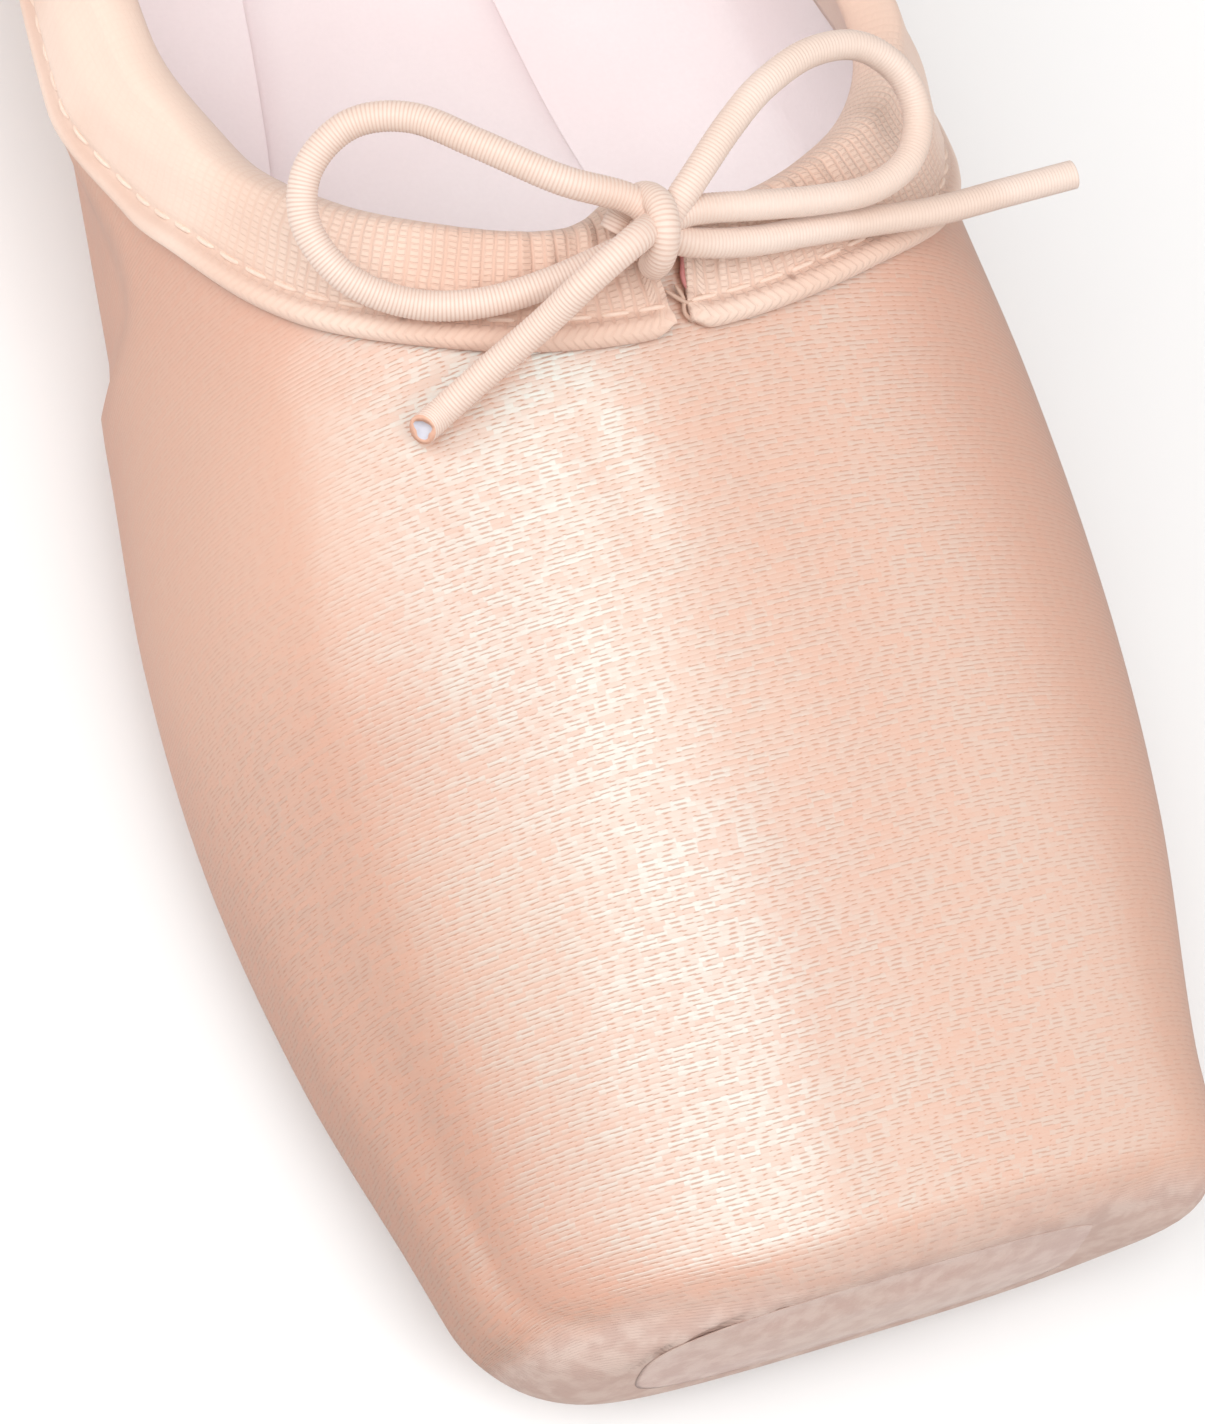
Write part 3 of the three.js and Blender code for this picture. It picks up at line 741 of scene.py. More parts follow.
def sole_half(at, front, back, lap):
    lead = np.clip((front + SOLE_FRONT_ROUND - at) / SOLE_FRONT_ROUND, 0, 1)
    trail = np.clip((at - back + SOLE_BACK_ROUND) / SOLE_BACK_ROUND, 0, 1)
    ends = np.sqrt(1 - lead**2) * np.sqrt(1 - trail**2)
    return (smooth(SOLE_PLAN, at)[..., 0] - lap) * ends


def in_opening(points):
    x, at, _ = np.moveaxis(points, -1, 0)
    front = SOLE_FRONT + FLANGE_LAP
    back = SOLE_BACK - FLANGE_LAP
    return (at > front) & (at < back) & (np.abs(x) < sole_half(at, front, back, FLANGE_LAP))


def above_collar(points):
    at = points[..., 1]
    return (at > COLLAR[0, 0]) & (points[..., 2] > smooth(COLLAR, at)[..., 0])


def wall_at(at):
    return BOX_WALL + (QUARTER_WALL - BOX_WALL) * smoothstep(at, *WALL_THINS)


def half_outline():
    """Half of the plan outline from the toe's middle to the heel's, with the length up to each point."""
    ends = HEEL_DEPTH * np.sin(np.linspace(0, math.pi / 2, 60))
    heel = LENGTH - HEEL_DEPTH
    at = np.concatenate((np.linspace(0, 10, 60), np.linspace(10.5, heel, 300), heel + ends[1:]))
    round_end = (1 - np.minimum(heel_depth(at, 0), 1) ** HEEL_POWER) ** (1 / HEEL_POWER)
    half = smooth(SECTIONS, at)[:, 0] * round_end - round_inset(at, CORNER_ROUND)
    points = np.vstack(((0, 0), np.stack((half, at), -1)))
    return points, run_lengths(points)


OUTLINE, OUTLINE_RUN = half_outline()
SPINE_SHARE = 0.22
SPINE_FRONT = 90.0
SPINE_BACK = 188.0
SPINE_LEVEL = 18.0
RAY_STEPS = 120
BISECTIONS = 28
BEND_WEIGHT = 12.0


def last_true(low, high, test):
    """Largest value between two limits at which a test still holds, for each column."""
    yes, no = low, high
    for _ in range(BISECTIONS):
        middle = (yes + no) / 2
        holds = test(middle)
        yes = np.where(holds, middle, yes)
        no = np.where(holds, no, middle)
    return yes


class Ribs:
    """Lines on the last from the sole opening to the collar, one for each share of the half outline.
    The share runs from 0 at the toe to 1 at the heel, and is negative on the left side."""

    def __init__(self, shares):
        self.shares = np.asarray(shares, float)
        run = np.abs(self.shares) * OUTLINE_RUN[-1]
        self.run = run
        edge_x, self.edge_at = sample(run, OUTLINE_RUN, OUTLINE).T
        edge_x = edge_x * np.sign(self.shares)
        spine = SPINE_FRONT + (SPINE_BACK - SPINE_FRONT) * self.edge_at / LENGTH
        self.start = np.stack((SPINE_SHARE * edge_x, spine, np.full_like(run, SPINE_LEVEL)), -1)
        self.plan = unit(np.stack((edge_x - self.start[:, 0], self.edge_at - spine), -1))
        level = np.zeros_like(run)
        low = last_true(level - math.pi / 2, level, lambda a: in_opening(self.hit(a)))
        high = last_true(level, level + math.pi / 2, lambda a: ~above_collar(self.hit(a)))
        share = np.linspace(0, 1, RAY_STEPS + 1)
        self.angles = low[:, None] + (high - low)[:, None] * share
        points = self.hit(self.angles)
        steps = np.diff(points, axis=1)
        size = np.linalg.norm(steps, axis=-1)
        heading = steps / np.maximum(size, 1e-9)[..., None]
        turn = np.arccos(np.clip((heading[:, 1:] * heading[:, :-1]).sum(-1), -1, 1))
        turn = np.concatenate((turn[:, :1], turn), 1)
        self.lengths = run_lengths(points)
        weights = np.cumsum(size + BEND_WEIGHT * turn, 1)
        self.weights = np.concatenate((np.zeros((len(run), 1)), weights), 1)
        self.collar = points[:, -1]

    def hit(self, angle):
        """Where rays at these angles leave the last."""
        spread = (slice(None),) + (None,) * (angle.ndim - 1)
        start = self.start[spread]
        plan = self.plan[spread]
        level = np.cos(angle)[..., None]
        ray = np.concatenate((plan * level, np.sin(angle)[..., None]), -1)
        low = np.zeros_like(angle)
        reach = last_true(low, low + LENGTH, lambda r: last_level(start + ray * r[..., None]) > 0)
        return start + ray * reach[..., None]

    def angle_for(self, measure, values):
        rows = [np.interp(v, m, a) for v, m, a in zip(values, measure, self.angles)]
        return np.array(rows)

    def below(self, drops):
        """Points at these lengths below the collar."""
        return self.hit(self.angle_for(self.lengths, self.lengths[:, -1:] - drops))

    def spread(self, rows):
        """Points all the way up, closer together where the line bends."""
        share = np.linspace(0, 1, rows)
        return self.hit(self.angle_for(self.weights, self.weights[:, -1:] * share))


# Cloth coordinates: lengths across each section from its crown
ARC_STATIONS = 96
ARC_STEPS = 240


def arc_table():
    at = np.linspace(0, LENGTH, ARC_STATIONS)
    half_width, widest, crown, floor_power, crown_power = smooth(SECTIONS, at).T[:, :, None]
    floor = (tread_height(at) + SOLE_THICK + FIT_GAP)[:, None]
    turn = np.linspace(0, math.pi, ARC_STEPS)[None]
    above = turn <= math.pi / 2
    power = np.where(above, crown_power, floor_power)
    x = half_width * np.abs(np.sin(turn)) ** (2 / power)
    rise = np.abs(np.cos(turn)) ** (2 / power)
    z = np.where(above, widest + (crown - widest) * rise, widest - (widest - floor) * rise)
    return run_lengths(np.stack((x, z), -1))


ARCS = arc_table()
EDGE_LEVEL = 24.0
EDGE_REACH = 6.0
HEEL_CLOTH = (130, 170)


def cloth_coordinates(points, ribs):
    """Along the shoe and across it, in millimetres, on the stretched satin."""
    station, across, up, power, above = shape_at(points)
    turn = np.arctan2(across ** (power / 2), up ** (power / 2))
    turn = np.where(above, turn, math.pi - turn)
    i = np.clip(station, 0, LENGTH) / LENGTH * (ARC_STATIONS - 1)
    j = turn / math.pi * (ARC_STEPS - 1)
    low_i = np.clip(i.astype(int), 0, ARC_STATIONS - 2)
    low_j = np.clip(j.astype(int), 0, ARC_STEPS - 2)
    di = i - low_i
    dj = j - low_j
    near = ARCS[low_i, low_j] * (1 - dj) + ARCS[low_i, low_j + 1] * dj
    far = ARCS[low_i + 1, low_j] * (1 - dj) + ARCS[low_i + 1, low_j + 1] * dj
    width = near * (1 - di) + far * di
    at = points[..., 1]
    middle = sum(HEEL_CLOTH) / 2
    heel_start = np.interp(middle, OUTLINE[:, 1], OUTLINE_RUN) - middle
    behind = smoothstep(ribs.edge_at, *HEEL_CLOTH)[:, None]
    along = at * (1 - behind) + (ribs.run - heel_start)[:, None] * behind
    down_front = np.maximum(EDGE_LEVEL - points[..., 2], 0) * (1 - smoothstep(at, 0, EDGE_REACH))
    return along - down_front, width


# Soft troughs and swells of the satin: ends of a line in x and place, half width, height
CREASES = (
    ((-17.0, 66.0), (-12.0, 56.0), 2.6, -0.16),
    ((-9.0, 65.0), (-7.0, 55.0), 2.2, -0.14),
    ((-22.0, 62.0), (-19.0, 52.0), 2.8, -0.14),
    ((3.0, 64.0), (5.0, 54.0), 3.0, -0.12),
    ((-13.0, 48.0), (-15.0, 33.0), 3.4, 0.1),
    ((-18.0, 30.0), (-20.0, 16.0), 3.0, 0.1),
    ((-4.0, 40.0), (-6.0, 24.0), 4.0, -0.08),
    ((14.0, 50.0), (18.0, 30.0), 5.0, 0.08),
    ((-28.0, 70.0), (-30.0, 52.0), 7.0, 0.9),
)
SHOULDER_FALL = 1.8
SHOULDER_OUT = (3, 24)
SHOULDER_PLACE = (22, 62)
SHOULDER_LEVEL = (12, 22)
WING_START = (87.5, 91.5)
WING_END = (109, 159)
WING_TOP = (20, 29)
WING_OUT = (20, 28)
WING_DEPTH = 1.5
PLEATS = 19
PLEAT_PIVOT = 44.0
PLEAT_SPREAD = math.radians(78)
PLEAT_HEIGHT = 0.5
PLEAT_SLOPE = 0.78
PLEAT_MIDDLE = 0.6
PLEAT_SIDE = 0.2
PLEAT_BEGIN = (-0.2, 1.2)
PLEAT_FADE = (6, 15)
SEAM_START = (206, 216)
SEAM_DEPTH = 0.3
SEAM_HALF = 0.9
SEAM_SWELL = 0.12
SEAM_SWELL_OUT = 2.2
CORNER_FILL = 2.4
CORNER = (27.5, 2.5, 16.0)
CORNER_SPREAD = (5.0, 5.0, 7.0)

# Limits of a normal's rise, for what lies on top, on the shoulder and underneath
TOP_FACING = (0.15, 0.5)
SHOULDER_FACING = (0.05, 0.5)
UNDER_FACING = (0.1, 0.55)


def near_line(x, at, start, end, half_width):
    """Bell-shaped share of a soft line drawn on the shoe in plan."""
    start = np.array(start)
    way = np.array(end) - start
    t = np.clip(((x - start[0]) * way[0] + (at - start[1]) * way[1]) / (way @ way), 0, 1)
    off = np.hypot(x - start[0] - t * way[0], at - start[1] - t * way[1])
    return bell(off, 0, half_width)


def satin_relief(points, normals):
    """Height of creases, pleats and seams over the smooth last."""
    x, at, z = np.moveaxis(points, -1, 0)
    top = smoothstep(normals[..., 2], *TOP_FACING)
    height = np.zeros_like(x)
    for start, end, half_width, size in CREASES:
        height += size * top * near_line(x, at, start, end, half_width)
    shoulder = smoothstep(-x, *SHOULDER_OUT) * smoothstep(z, *SHOULDER_LEVEL)
    shoulder = shoulder * (1 - smoothstep(at, *SHOULDER_PLACE))
    height -= SHOULDER_FALL * shoulder * smoothstep(normals[..., 2], *SHOULDER_FACING)
    low_wall = (1 - smoothstep(z, *WING_TOP)) * smoothstep(np.abs(x), *WING_OUT)
    height -= WING_DEPTH * between(at, WING_START, WING_END) * low_wall
    angle = np.arctan2(x, PLEAT_PIVOT - at)
    beyond_sole = np.abs(x) - sole_half(np.clip(at, SOLE_FRONT, SOLE_BACK), SOLE_FRONT, SOLE_BACK, 0)
    ahead = np.hypot(x, PLEAT_PIVOT - at) - (PLEAT_PIVOT - SOLE_FRONT)
    before = np.minimum(np.maximum(beyond_sole, SOLE_FRONT - at), np.maximum(ahead, beyond_sole))
    out = np.where(at < PLEAT_PIVOT, before, beyond_sole)
    under = smoothstep(-normals[..., 2], *UNDER_FACING) * between(out, PLEAT_BEGIN, PLEAT_FADE)
    fan = 1 - smoothstep(np.abs(angle), PLEAT_SPREAD - PLEAT_SIDE, PLEAT_SPREAD)
    phase = (angle / (2 * PLEAT_SPREAD) * PLEATS) % 1.0
    fold = np.where(phase < PLEAT_SLOPE, phase / PLEAT_SLOPE, (1 - phase) / (1 - PLEAT_SLOPE))
    height += PLEAT_HEIGHT * under * fan * (fold - PLEAT_MIDDLE)
    seam = smoothstep(at, *SEAM_START)
    height -= SEAM_DEPTH * seam * bell(x, 0, SEAM_HALF)
    height += SEAM_SWELL * seam * bell(np.abs(x), SEAM_SWELL_OUT, 1)
    off_corner = (points - np.array(CORNER)) / CORNER_SPREAD
    return height + CORNER_FILL * np.exp(-(off_corner**2).sum(-1))


# Soft quarters, which lean to the left as the empty shoe stands
LEAN_LEFT = 2.6
LEAN_RIGHT = 1.2
LEAN_START = (94, 106)
LEAN_END = (140, 190)
LEAN_BELOW = (14, 29)
LEAN_TOP = (32, 41)
LEAN_TOP_LOSS = 0.6


def soft_lean(points):
    x, at, z = np.moveaxis(points, -1, 0)
    soft = between(at, LEAN_START, LEAN_END) * smoothstep(z, *LEAN_BELOW)
    left = LEAN_LEFT * (1 - LEAN_TOP_LOSS * smoothstep(z, *LEAN_TOP))
    shift = -soft * np.where(x < 0, left, LEAN_RIGHT)
    return np.stack((shift, 0 * shift, 0 * shift), -1)


# Upper
TOE_SHARE = 0.26
HEEL_SHARE = 0.8
TOE_COLUMNS = 92
SIDE_COLUMNS = 62
HEEL_COLUMNS = 38
OUTER_ROWS = 176
INNER_EVERY = 4
COLLAR_CLEAR = (9, 14)


def column_shares():
    half = np.concatenate((
        np.linspace(0, TOE_SHARE, TOE_COLUMNS, endpoint=False),
        np.linspace(TOE_SHARE, HEEL_SHARE, SIDE_COLUMNS, endpoint=False),
        np.linspace(HEEL_SHARE, 1, HEEL_COLUMNS),
    ))
    return np.concatenate((half, -half[-2:0:-1]))


def make_upper(satin, lining):
    ribs = Ribs(column_shares())
    outer = ribs.spread(OUTER_ROWS)
    normals = outward(outer)
    along, width = cloth_coordinates(outer, ribs)
    drop = run_lengths(outer[:, ::-1])[:, ::-1]
    clear = smoothstep(drop, *COLLAR_CLEAR)
    lean = soft_lean(outer)
    raised = outer + lean + normals * (satin_relief(outer, normals) * clear)[..., None]
    picked = np.unique(np.append(np.arange(0, OUTER_ROWS, INNER_EVERY), OUTER_ROWS - 1))
    inner = (outer + lean - normals * wall_at(outer[..., 1])[..., None])[:, picked]
    loops = np.concatenate((raised, inner[:, ::-1]), 1)
    uv = np.stack((along, width), -1)
    uv = np.concatenate((uv, uv[:, picked][:, ::-1]), 1)
    faces = loft(loops, True)
    row = np.tile(np.arange(loops.shape[1]), len(loops))
    finish = np.where(row < OUTER_ROWS - 1, 0, 1)
    looks = [satin, lining]
    return add_piece("upper_satin", loops, faces, looks, ["upper"], uv, finish, signed=True)


# Outsole
SOLE_EDGE = 0.7
SOLE_CHANNEL_IN = 3.2
SOLE_CHANNEL = 0.3
SOLE_CHANNEL_HALF = 0.55
SOLE_ENDS = 26
SOLE_BAYS = 90
SOLE_ACROSS = 61


def ended_places(front, back, front_round, back_round, turns, bays):
    turn = np.linspace(0, math.pi / 2, turns, endpoint=False)
    lead = front + front_round * (1 - np.cos(turn))
    body = np.linspace(front + front_round, back - back_round, bays, endpoint=False)
    trail = back - back_round * (1 - np.sin(np.linspace(0, math.pi / 2, turns + 1)))
    return np.concatenate((lead, body, trail))


def make_outsole(leather):
    at = ended_places(SOLE_FRONT, SOLE_BACK, SOLE_FRONT_ROUND, SOLE_BACK_ROUND, SOLE_ENDS, SOLE_BAYS)
    half = np.maximum(sole_half(at, SOLE_FRONT, SOLE_BACK, 0), SOLE_END_HALF)
    low = tread_height(at)
    turn = np.linspace(0, math.pi / 2, 6)
    round_in = SOLE_EDGE * (1 - np.sin(turn))
    round_up = SOLE_EDGE * (1 - np.cos(turn))
    share = np.linspace(-1, 1, SOLE_ACROSS)
    loops = []
    for place, reach, level in zip(at, half, low):
        flat = reach - SOLE_EDGE
        x = share * flat
        from_channel = (reach - np.abs(x) - SOLE_CHANNEL_IN) / SOLE_CHANNEL_HALF
        channel = SOLE_CHANNEL * np.exp(-(from_channel**2))
        under = np.stack((x, level + channel), -1)
        right = np.stack((reach - round_in, level + round_up), -1)
        up_right = np.stack((reach - round_in[::-1], level + SOLE_THICK - round_up[::-1]), -1)
        over = np.stack((x[::-3], np.full(len(x[::-3]), level + SOLE_THICK)), -1)
        left = right * (-1, 1)
        up_left = up_right * (-1, 1)
        ring = np.vstack((under, right[1:], up_right[:-1], over, up_left[::-1][1:], left[::-1][:-1]))
        loops.append(np.stack((ring[:, 0], np.full(len(ring), place), ring[:, 1]), -1))
    loops = np.array(loops)
    return add_piece("outsole_leather", loops, loft(loops, False), [leather], ["outsole"])


# Insole
SOCK_ACROSS = 61
SOCK_SETTLE = 0.62
SOCK_EDGE = 0.12
SOCK_EDGE_POWER = 8
SOCK_END_POWER = 2.6
SOCK_ENDS = 14
SOCK_BAYS = 90


def make_insole(lining):
    at = ended_places(INSOLE_FRONT, INSOLE_BACK, INSOLE_ROUND, INSOLE_ROUND, SOCK_ENDS, SOCK_BAYS)
    level = tread_height(at) + SOLE_THICK
    lead = np.clip((INSOLE_FRONT + INSOLE_ROUND - at) / INSOLE_ROUND, 0, 1)
    trail = np.clip((at - INSOLE_BACK + INSOLE_ROUND) / INSOLE_ROUND, 0, 1)
    ends = np.sqrt(1 - lead**SOCK_END_POWER) * np.sqrt(1 - trail**SOCK_END_POWER)
    sizes = smooth(SECTIONS, at)
    full = sizes[:, 0] - wall_at(at)
    half = np.maximum((smooth(SOLE_PLAN, at)[:, 0] - INSOLE_MARGIN) * ends, SOLE_END_HALF)
    side = np.linspace(-1, 1, SOCK_ACROSS)
    x = half[:, None] * side
    heel = heel_depth(at + wall_at(at) + INSOLE_CLEAR, level)
    reach = round_sum(np.abs(x) / (full - INSOLE_CLEAR)[:, None], heel[:, None], HEEL_POWER)
    widest = sizes[:, 1]
    floor = level + FIT_GAP + round_inset(at, EDGE_ROUND)
    depth = widest - floor - wall_at(at) - 2 * FIT_GAP
    power = sizes[:, 3][:, None]
    under = widest[:, None] - depth[:, None] * (1 - np.minimum(reach, 1) ** power) ** (1 / power)
    places = np.repeat(at[:, None], SOCK_ACROSS, 1)
    edge = 1 - np.abs(side) ** SOCK_EDGE_POWER
    under = under - SOCK_SETTLE * (1 - edge)
    over = under + INSOLE_THICK * (SOCK_EDGE + (1 - SOCK_EDGE) * edge)
    lower = np.stack((x, places, under), -1)
    upper = np.stack((x, places, over), -1)
    loops = np.concatenate((lower, upper[:, ::-1]), 1)
    return add_piece("insole_sock", loops, loft(loops, False), [lining], ["insole"])


# Toe patch
PATCH_EDGE = 0.06
PATCH_SLOPE = (0.3, 1.0)
PATCH_SIDES = 200
PATCH_RINGS = 40
PATCH_LUMPS = 0.05
PATCH_LIFT = -0.04


def make_patch(suede):
    middle = (PATCH_LOW + PATCH_HIGH) / 2
    half_height = (PATCH_HIGH - PATCH_LOW) / 2
    lean = math.atan(TOE_LEAN)
    turn = circle(PATCH_SIDES)
    swell = 1 / round_sum(np.abs(np.cos(turn)), np.abs(np.sin(turn)), PATCH_POWER)
    outline = np.stack((PATCH_HALF * np.cos(turn) * swell, half_height * np.sin(turn) * swell), -1)
    shares = np.concatenate((np.linspace(0.03, 1, PATCH_RINGS), (0.99, 0.9)))
    layers = PATCH_THICK * (1 - smoothstep(shares, *PATCH_SLOPE)) + PATCH_EDGE
    layers[-2:] = 0
    loops = []
    for share, layer in zip(shares, layers):
        x, v = (outline * share).T
        lump = PATCH_LUMPS * np.sin(0.9 * x + 0.4 * v) * np.sin(0.7 * v - 0.3 * x) * layer
        out = PATCH_LIFT + layer + lump
        loops.append(np.stack((
            x,
            v * math.sin(lean) - out * math.cos(lean) + TOE_LEAN * (middle - LEAN_LEVEL),
            v * math.cos(lean) + out * math.sin(lean) + middle,
        ), -1))
    loops = np.array(loops)
    return add_piece("toe_patch_suede", loops, loft(loops, False), [suede], ["toe_patch"])


# Binding tape
TAPE_NEAR = 0.13
TAPE_NEAR_COLUMNS = 300
TAPE_FAR_COLUMNS = 150
SELVEDGE_RISE = 0.38
SELVEDGE_POWER = 0.7
ROPE_PITCH = 0.95
STITCH_LENGTH = 1.9
THREAD = 0.42
PUCKER_REACH = 15.0
TAPE_PINCH = 0.2
TAPE_PINCH_AT = 91.0
TAPE_PINCH_REACH = 6.0
TAPE_SLACK = 2.0
TAPE_SLACK_FULL = 84.0
TAPE_SLACK_END = (92, 112)
ROPE_SHARE = 0.1
ROPE_TWIST = 1.5
ROPE_FADE = (22, 32)
GROOVE_DEPTH = 0.3
GROOVE_HALF = 0.4
PUCKER = 0.22
PUCKER_START = (2.4, 5.0)
FAR_WAVE = 0.1
FAR_WAVE_LENGTH = 9.0
FAR_WAVE_START = (3.0, 6.0)
CASING = 0.35
CASING_UP = 6.6
CASING_HALF = 1.6
TAPE_ROWS = 26
CREST_ROWS = 8
INNER_ROWS = 8
END_LIFT_RIGHT = 1.2
END_LIFT_LEFT = 2.4
END_REACH = 4.0
END_PULL = 0.9
END_ROUND = 0.1
END_ROUND_REACH = 0.8
EDGE_TAPER = 0.35
EDGE_LEAST = 0.25
BACK_RELIEF = 0.2

# Waves of the puckers: share, pitch and lean
PUCKER_WAVES = ((1.0, 2.7, 0.35), (0.6, 1.7, -0.5))


def tape_width(ribs):
    at = ribs.collar[:, 1]
    share = smoothstep(at, COLLAR[0, 0], COLLAR[0, 0] + TAPE_WIDENS)
    full = TAPE_AT_THROAT + (TAPE_AT_SIDE - TAPE_AT_THROAT) * share
    pinch = TAPE_PINCH * full * bell(at, TAPE_PINCH_AT, TAPE_PINCH_REACH)
    slack = between(at, (COLLAR[0, 0], TAPE_SLACK_FULL), TAPE_SLACK_END)
    return full + np.where(ribs.shares < 0, -pinch, TAPE_SLACK * slack)


def tape_ribs():
    half = np.concatenate((
        np.linspace(THROAT_GAP_SHARE, TAPE_NEAR, TAPE_NEAR_COLUMNS, endpoint=False),
        np.linspace(TAPE_NEAR, 1, TAPE_FAR_COLUMNS),
    ))
    return Ribs(np.concatenate((half, -half[-2::-1])))


def tape_run(ribs):
    """Length along the collar from the throat's nearer end."""
    run = run_lengths(ribs.collar)
    return run, np.minimum(run, run[-1] - run)


def tape_relief(run, near, up_from_edge):
    """Height of the tape's face: rope edge, stitch groove, and puckers by the throat."""
    turn = 2 * math.pi
    rope = np.sin(turn * run / ROPE_PITCH + ROPE_TWIST * up_from_edge) * (1 - smoothstep(near, *ROPE_FADE))
    edge = np.clip(np.sin(math.pi * np.clip(up_from_edge / SELVEDGE, 0, 1)), 0, 1) ** SELVEDGE_POWER
    selvedge = SELVEDGE_RISE * edge * (1 + ROPE_SHARE * rope)
    groove = -GROOVE_DEPTH * bell(up_from_edge, STITCH_LINE, GROOVE_HALF)
    waves = [size * np.sin(turn * near / pitch + lean * up_from_edge) for size, pitch, lean in PUCKER_WAVES]
    pucker = PUCKER * bell(near, 0, PUCKER_REACH) * sum(waves) * smoothstep(up_from_edge, *PUCKER_START)
    far_wave = FAR_WAVE * np.sin(turn * run / FAR_WAVE_LENGTH) * smoothstep(up_from_edge, *FAR_WAVE_START)
    casing = CASING * bell(up_from_edge, CASING_UP, CASING_HALF)
    return selvedge + groove + pucker + far_wave + casing


def make_binding(tape):
    ribs = tape_ribs()
    run, near = tape_run(ribs)
    band = tape_width(ribs)[:, None]
    wall = wall_at(ribs.collar[:, 1])[:, None]
    top = ribs.below(np.zeros((len(run), 1)))
    rise = unit(top - ribs.below(np.ones((len(run), 1))))
    top_out = outward(top)
    out_share = np.linspace(1, 0, TAPE_ROWS)
    outer_drop = band * out_share * (1 - END_ROUND * bell(near, 0, END_ROUND_REACH))[:, None]
    inner_drop = TAPE_INSIDE * np.repeat(np.linspace(0, 1, INNER_ROWS)[None], len(run), 0)
    outer = ribs.below(outer_drop)
    outer_normal = outward(outer)
    inner = ribs.below(inner_drop)
    inner_normal = outward(inner)
    turn = np.linspace(0, math.pi, CREST_ROWS + 2)[1:-1]
    up_from_edge = band - outer_drop
    face = tape_relief(run[:, None], near[:, None], up_from_edge)
    on_right = run < run[-1] / 2
    at_end = bell(near, 0, END_REACH)
    lift = (np.where(on_right, END_LIFT_RIGHT, END_LIFT_LEFT) * at_end)[:, None]
    away = unit(np.gradient(ribs.collar, axis=0)) * np.where(on_right, 1, -1)[:, None]
    away = away * (END_PULL * at_end)[:, None]
    drawn = smoothstep(up_from_edge, 0.5, TAPE_AT_THROAT)

    def layer(offset, relief):
        inside = wall + offset + TAPE_INNER_CLEAR
        ahead = outer + outer_normal * (offset + relief)[..., None] + away[:, None] * drawn[..., None]
        behind = inner - inner_normal * inside[..., None] + away[:, None]
        middle = (offset + relief[:, -1:] - inside) / 2
        radius = (offset + relief[:, -1:] + inside) / 2
        across = middle + radius * np.cos(turn)
        high = (offset + lift) * np.sin(turn)
        crest = top + top_out * across[..., None] + rise * high[..., None] + away[:, None]
        return np.concatenate((ahead, crest, behind), 1)

    taper = np.clip(up_from_edge / EDGE_TAPER, EDGE_LEAST, 1) ** 0.5
    outside = layer(FIT_GAP + TAPE_THICK, face + TAPE_THICK * (taper - 1))
    inside = layer(FIT_GAP, np.minimum(face, 0) * BACK_RELIEF)
    loops = np.concatenate((outside, inside[:, ::-1]), 1)
    loops = loops + soft_lean(loops)
    across = run_lengths(outside)
    across = np.concatenate((across, across[:, ::-1]), 1)
    uv = np.stack((np.broadcast_to(near[:, None], across.shape), across), -1)
    add_piece("binding_tape", loops, loft(loops, False), [tape], ["binding"], uv)
    return ribs, run


THREAD_STEP = 0.12
THREAD_SIDES = 8
THREAD_END_POWER = 6
THREAD_END_LEAST = 0.05
STITCH_SINK = 0.3
STITCH_ARCH = 0.16
STITCH_HOLD = 0.06


def capsules(routes, thickness):
    """Short threads along routes, as one mesh."""
    all_points, all_faces = [], []
    base = 0
    for route in routes:
        line, _ = curve_through(route, THREAD_STEP)
        _, side, up = carried_frames(line)
        along = np.linspace(-1, 1, len(line))
        taper = np.clip(1 - np.abs(along) ** THREAD_END_POWER, THREAD_END_LEAST, 1)
        radius = thickness / 2 * np.sqrt(taper)
        loops = line[:, None] + radius[:, None, None] * rings(circle(THREAD_SIDES), side, up)
        all_faces.append([faces + base for faces in loft(loops, False)])
        all_points.append(loops.reshape(-1, 3))
        base += len(all_points[-1])
    return np.vstack(all_points), [np.vstack(faces) for faces in zip(*all_faces)]


def make_stitches(ribs, run, thread):
    band = tape_width(ribs)
    line = ribs.below((band - STITCH_LINE)[:, None])[:, 0]
    normal = outward(line)
    face = FIT_GAP + TAPE_THICK - STITCH_SINK
    routes = []
    starts = np.arange(STITCH_PITCH / 2 - STITCH_LENGTH / 2, run[-1] / 2 - STITCH_PITCH, STITCH_PITCH)
    starts = np.concatenate((starts, run[-1] - starts - STITCH_LENGTH))
    for start in starts:
        places = start + STITCH_LENGTH * np.linspace(0, 1, 5)
        arch = face + STITCH_ARCH * np.sin(np.linspace(0, math.pi, 5)) - STITCH_HOLD
        out = unit(sample(places, run, normal))
        route = sample(places, run, line) + out * arch[:, None]
        routes.append(route + soft_lean(route))
    points, faces = capsules(routes, THREAD)
    return add_piece("binding_stitches", points, faces, [thread])


# Loose threads in the throat's gap: thickness and routes
THROAT_THREADS = {
    "rose": (0.45, (
        ((1.0, 73.9, 51.6), (1.2, 72.6, 51.2), (0.9, 71.4, 50.7), (1.1, 70.2, 50.3)),
        ((1.4, 68.9, 49.9), (1.9, 68.2, 49.7), (2.4, 67.9, 49.5)),
    )),
    "pale": (0.36, (
        ((-0.8, 70.6, 50.7), (0.2, 69.8, 50.3), (0.9, 69.5, 50.1), (2.0, 69.9, 50.4)),
        ((0.1, 70.9, 50.6), (0.5, 69.9, 50.2), (0.4, 68.9, 49.8), (0.9, 68.1, 49.5)),
    )),
}


def make_throat_threads(materials):
    for kind, (thickness, routes) in THROAT_THREADS.items():
        points, faces = capsules(routes, thickness)
        add_piece("throat_threads_" + kind, points, faces, [materials[kind]])


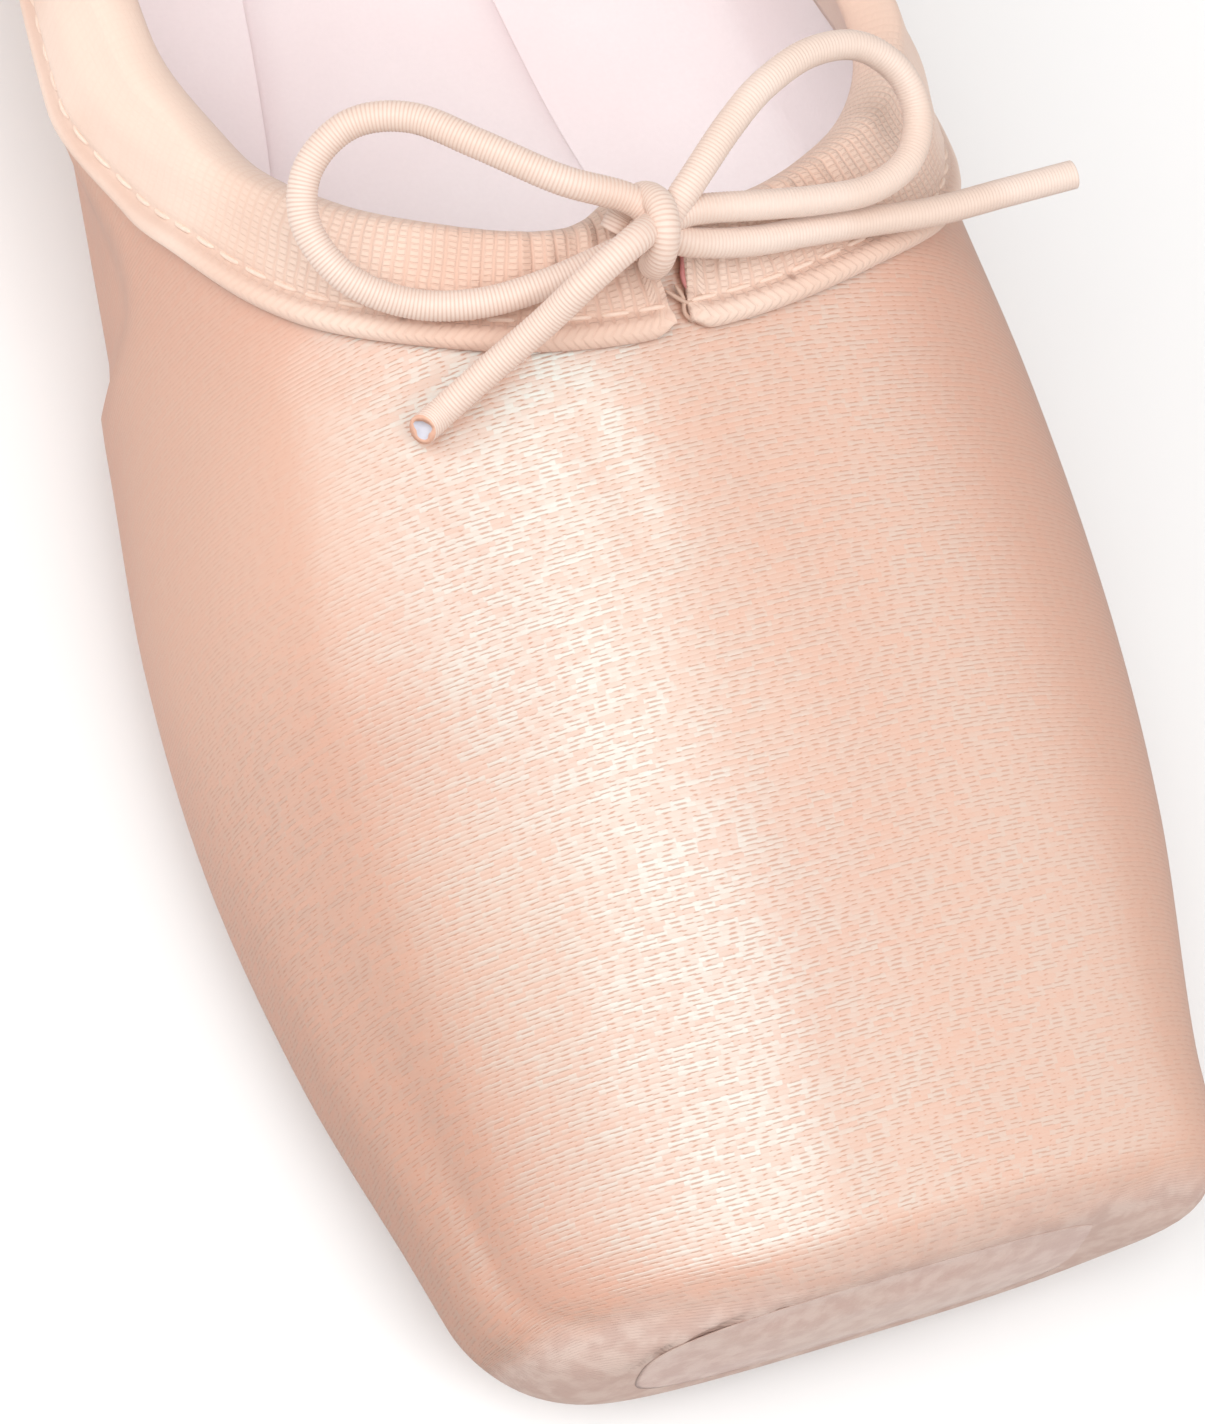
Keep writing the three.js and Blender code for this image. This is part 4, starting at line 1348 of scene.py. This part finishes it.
# Stage
FLOOR_HALF = 2.0
FLOOR_TONES = ((0.84, 0.84, 0.84, 1.0), (0.86, 0.86, 0.86, 1.0))
WORLD_LIGHT = 0.34
WORLD_COLOUR = (1.0, 0.985, 0.97, 1.0)

# Lamps: place from what the camera looks at, sides, turn and power; the first two face the floor
LAMPS = {
    "key": ((-0.02, -0.43, 0.85), (0.6, 1.0), 28.0, 6.9),
    "wing": ((-1.19, 0.26, 0.85), (1.9, 0.7), -20.0, 11.0),
    "side": ((0.75, -0.4, 0.55), (0.9, 0.9), 0.0, 2.7),
    "fill": ((-0.75, 0.65, 0.35), (0.9, 0.9), 0.0, 2.9),
}
LEVEL_LAMPS = ("key", "wing")


def make_lamp(name, place, size, turn, power):
    data = bpy.data.lights.new(name, "AREA")
    data.shape = "RECTANGLE"
    data.size, data.size_y = size
    data.energy = power
    lamp = add_object(name, data)
    lamp.location = Vector(to_frame(CAMERA_TARGET)) + Vector(place)
    way = Vector((0, 0, -1)) if name in LEVEL_LAMPS else -Vector(place)
    lamp.rotation_mode = "QUATERNION"
    lamp.rotation_quaternion = way.to_track_quat("-Z", "Y") @ Quaternion((0, 0, 1), math.radians(turn))
    lamp.visible_glossy = name != "fill"


def make_stage():
    mesh = bpy.data.meshes.new("floor")
    corners = [(-1, -1), (1, -1), (1, 1), (-1, 1)]
    mesh.from_pydata([(FLOOR_HALF * x, FLOOR_HALF * y, 0.0) for x, y in corners], [], [(0, 1, 2, 3)])
    graph = Graph("floor")
    shade = graph.mix(graph.noise(graph.place(), 3.0), *FLOOR_TONES)
    mesh.materials.append(graph.look(Base_Color=shade, Roughness=0.9))
    floor = add_object("floor", mesh)
    floor.visible_glossy = False
    for name, sizes in LAMPS.items():
        make_lamp(name, *sizes)
    world = bpy.data.worlds.new("studio")
    world.use_nodes = True
    background = world.node_tree.nodes["Background"]
    background.inputs["Color"].default_value = WORLD_COLOUR
    background.inputs["Strength"].default_value = WORLD_LIGHT
    bpy.context.scene.world = world
    bpy.context.scene.view_settings.view_transform = "Standard"


def make_shoe():
    elastic = elastic_material()
    satin = satin_material()
    lining = lining_material()
    thread = plain_material("thread", (226, 196, 178), (240, 218, 203), 2500.0, 0.6)
    rose = plain_material("rose_thread", (196, 116, 116), (216, 152, 148), 1800.0, 0.7)
    pale = plain_material("pale_thread", (186, 152, 134), (208, 178, 160), 1800.0, 0.7)
    cut = plain_material("cut_yarn", (214, 160, 136), (238, 196, 172), 1500.0, 0.8)
    rubber = plain_material("rubber", (196, 194, 206), (222, 220, 228), 1200.0, 0.6)
    cords = make_cords(elastic, cut, rubber)
    make_knot(elastic)
    make_upper(satin, lining)
    make_outsole(leather_material())
    make_insole(lining)
    make_patch(suede_material())
    ribs, run = make_binding(tape_material())
    make_stitches(ribs, run, thread)
    make_throat_threads({"rose": rose, "pale": pale})


make_camera()
make_shoe()
make_stage()
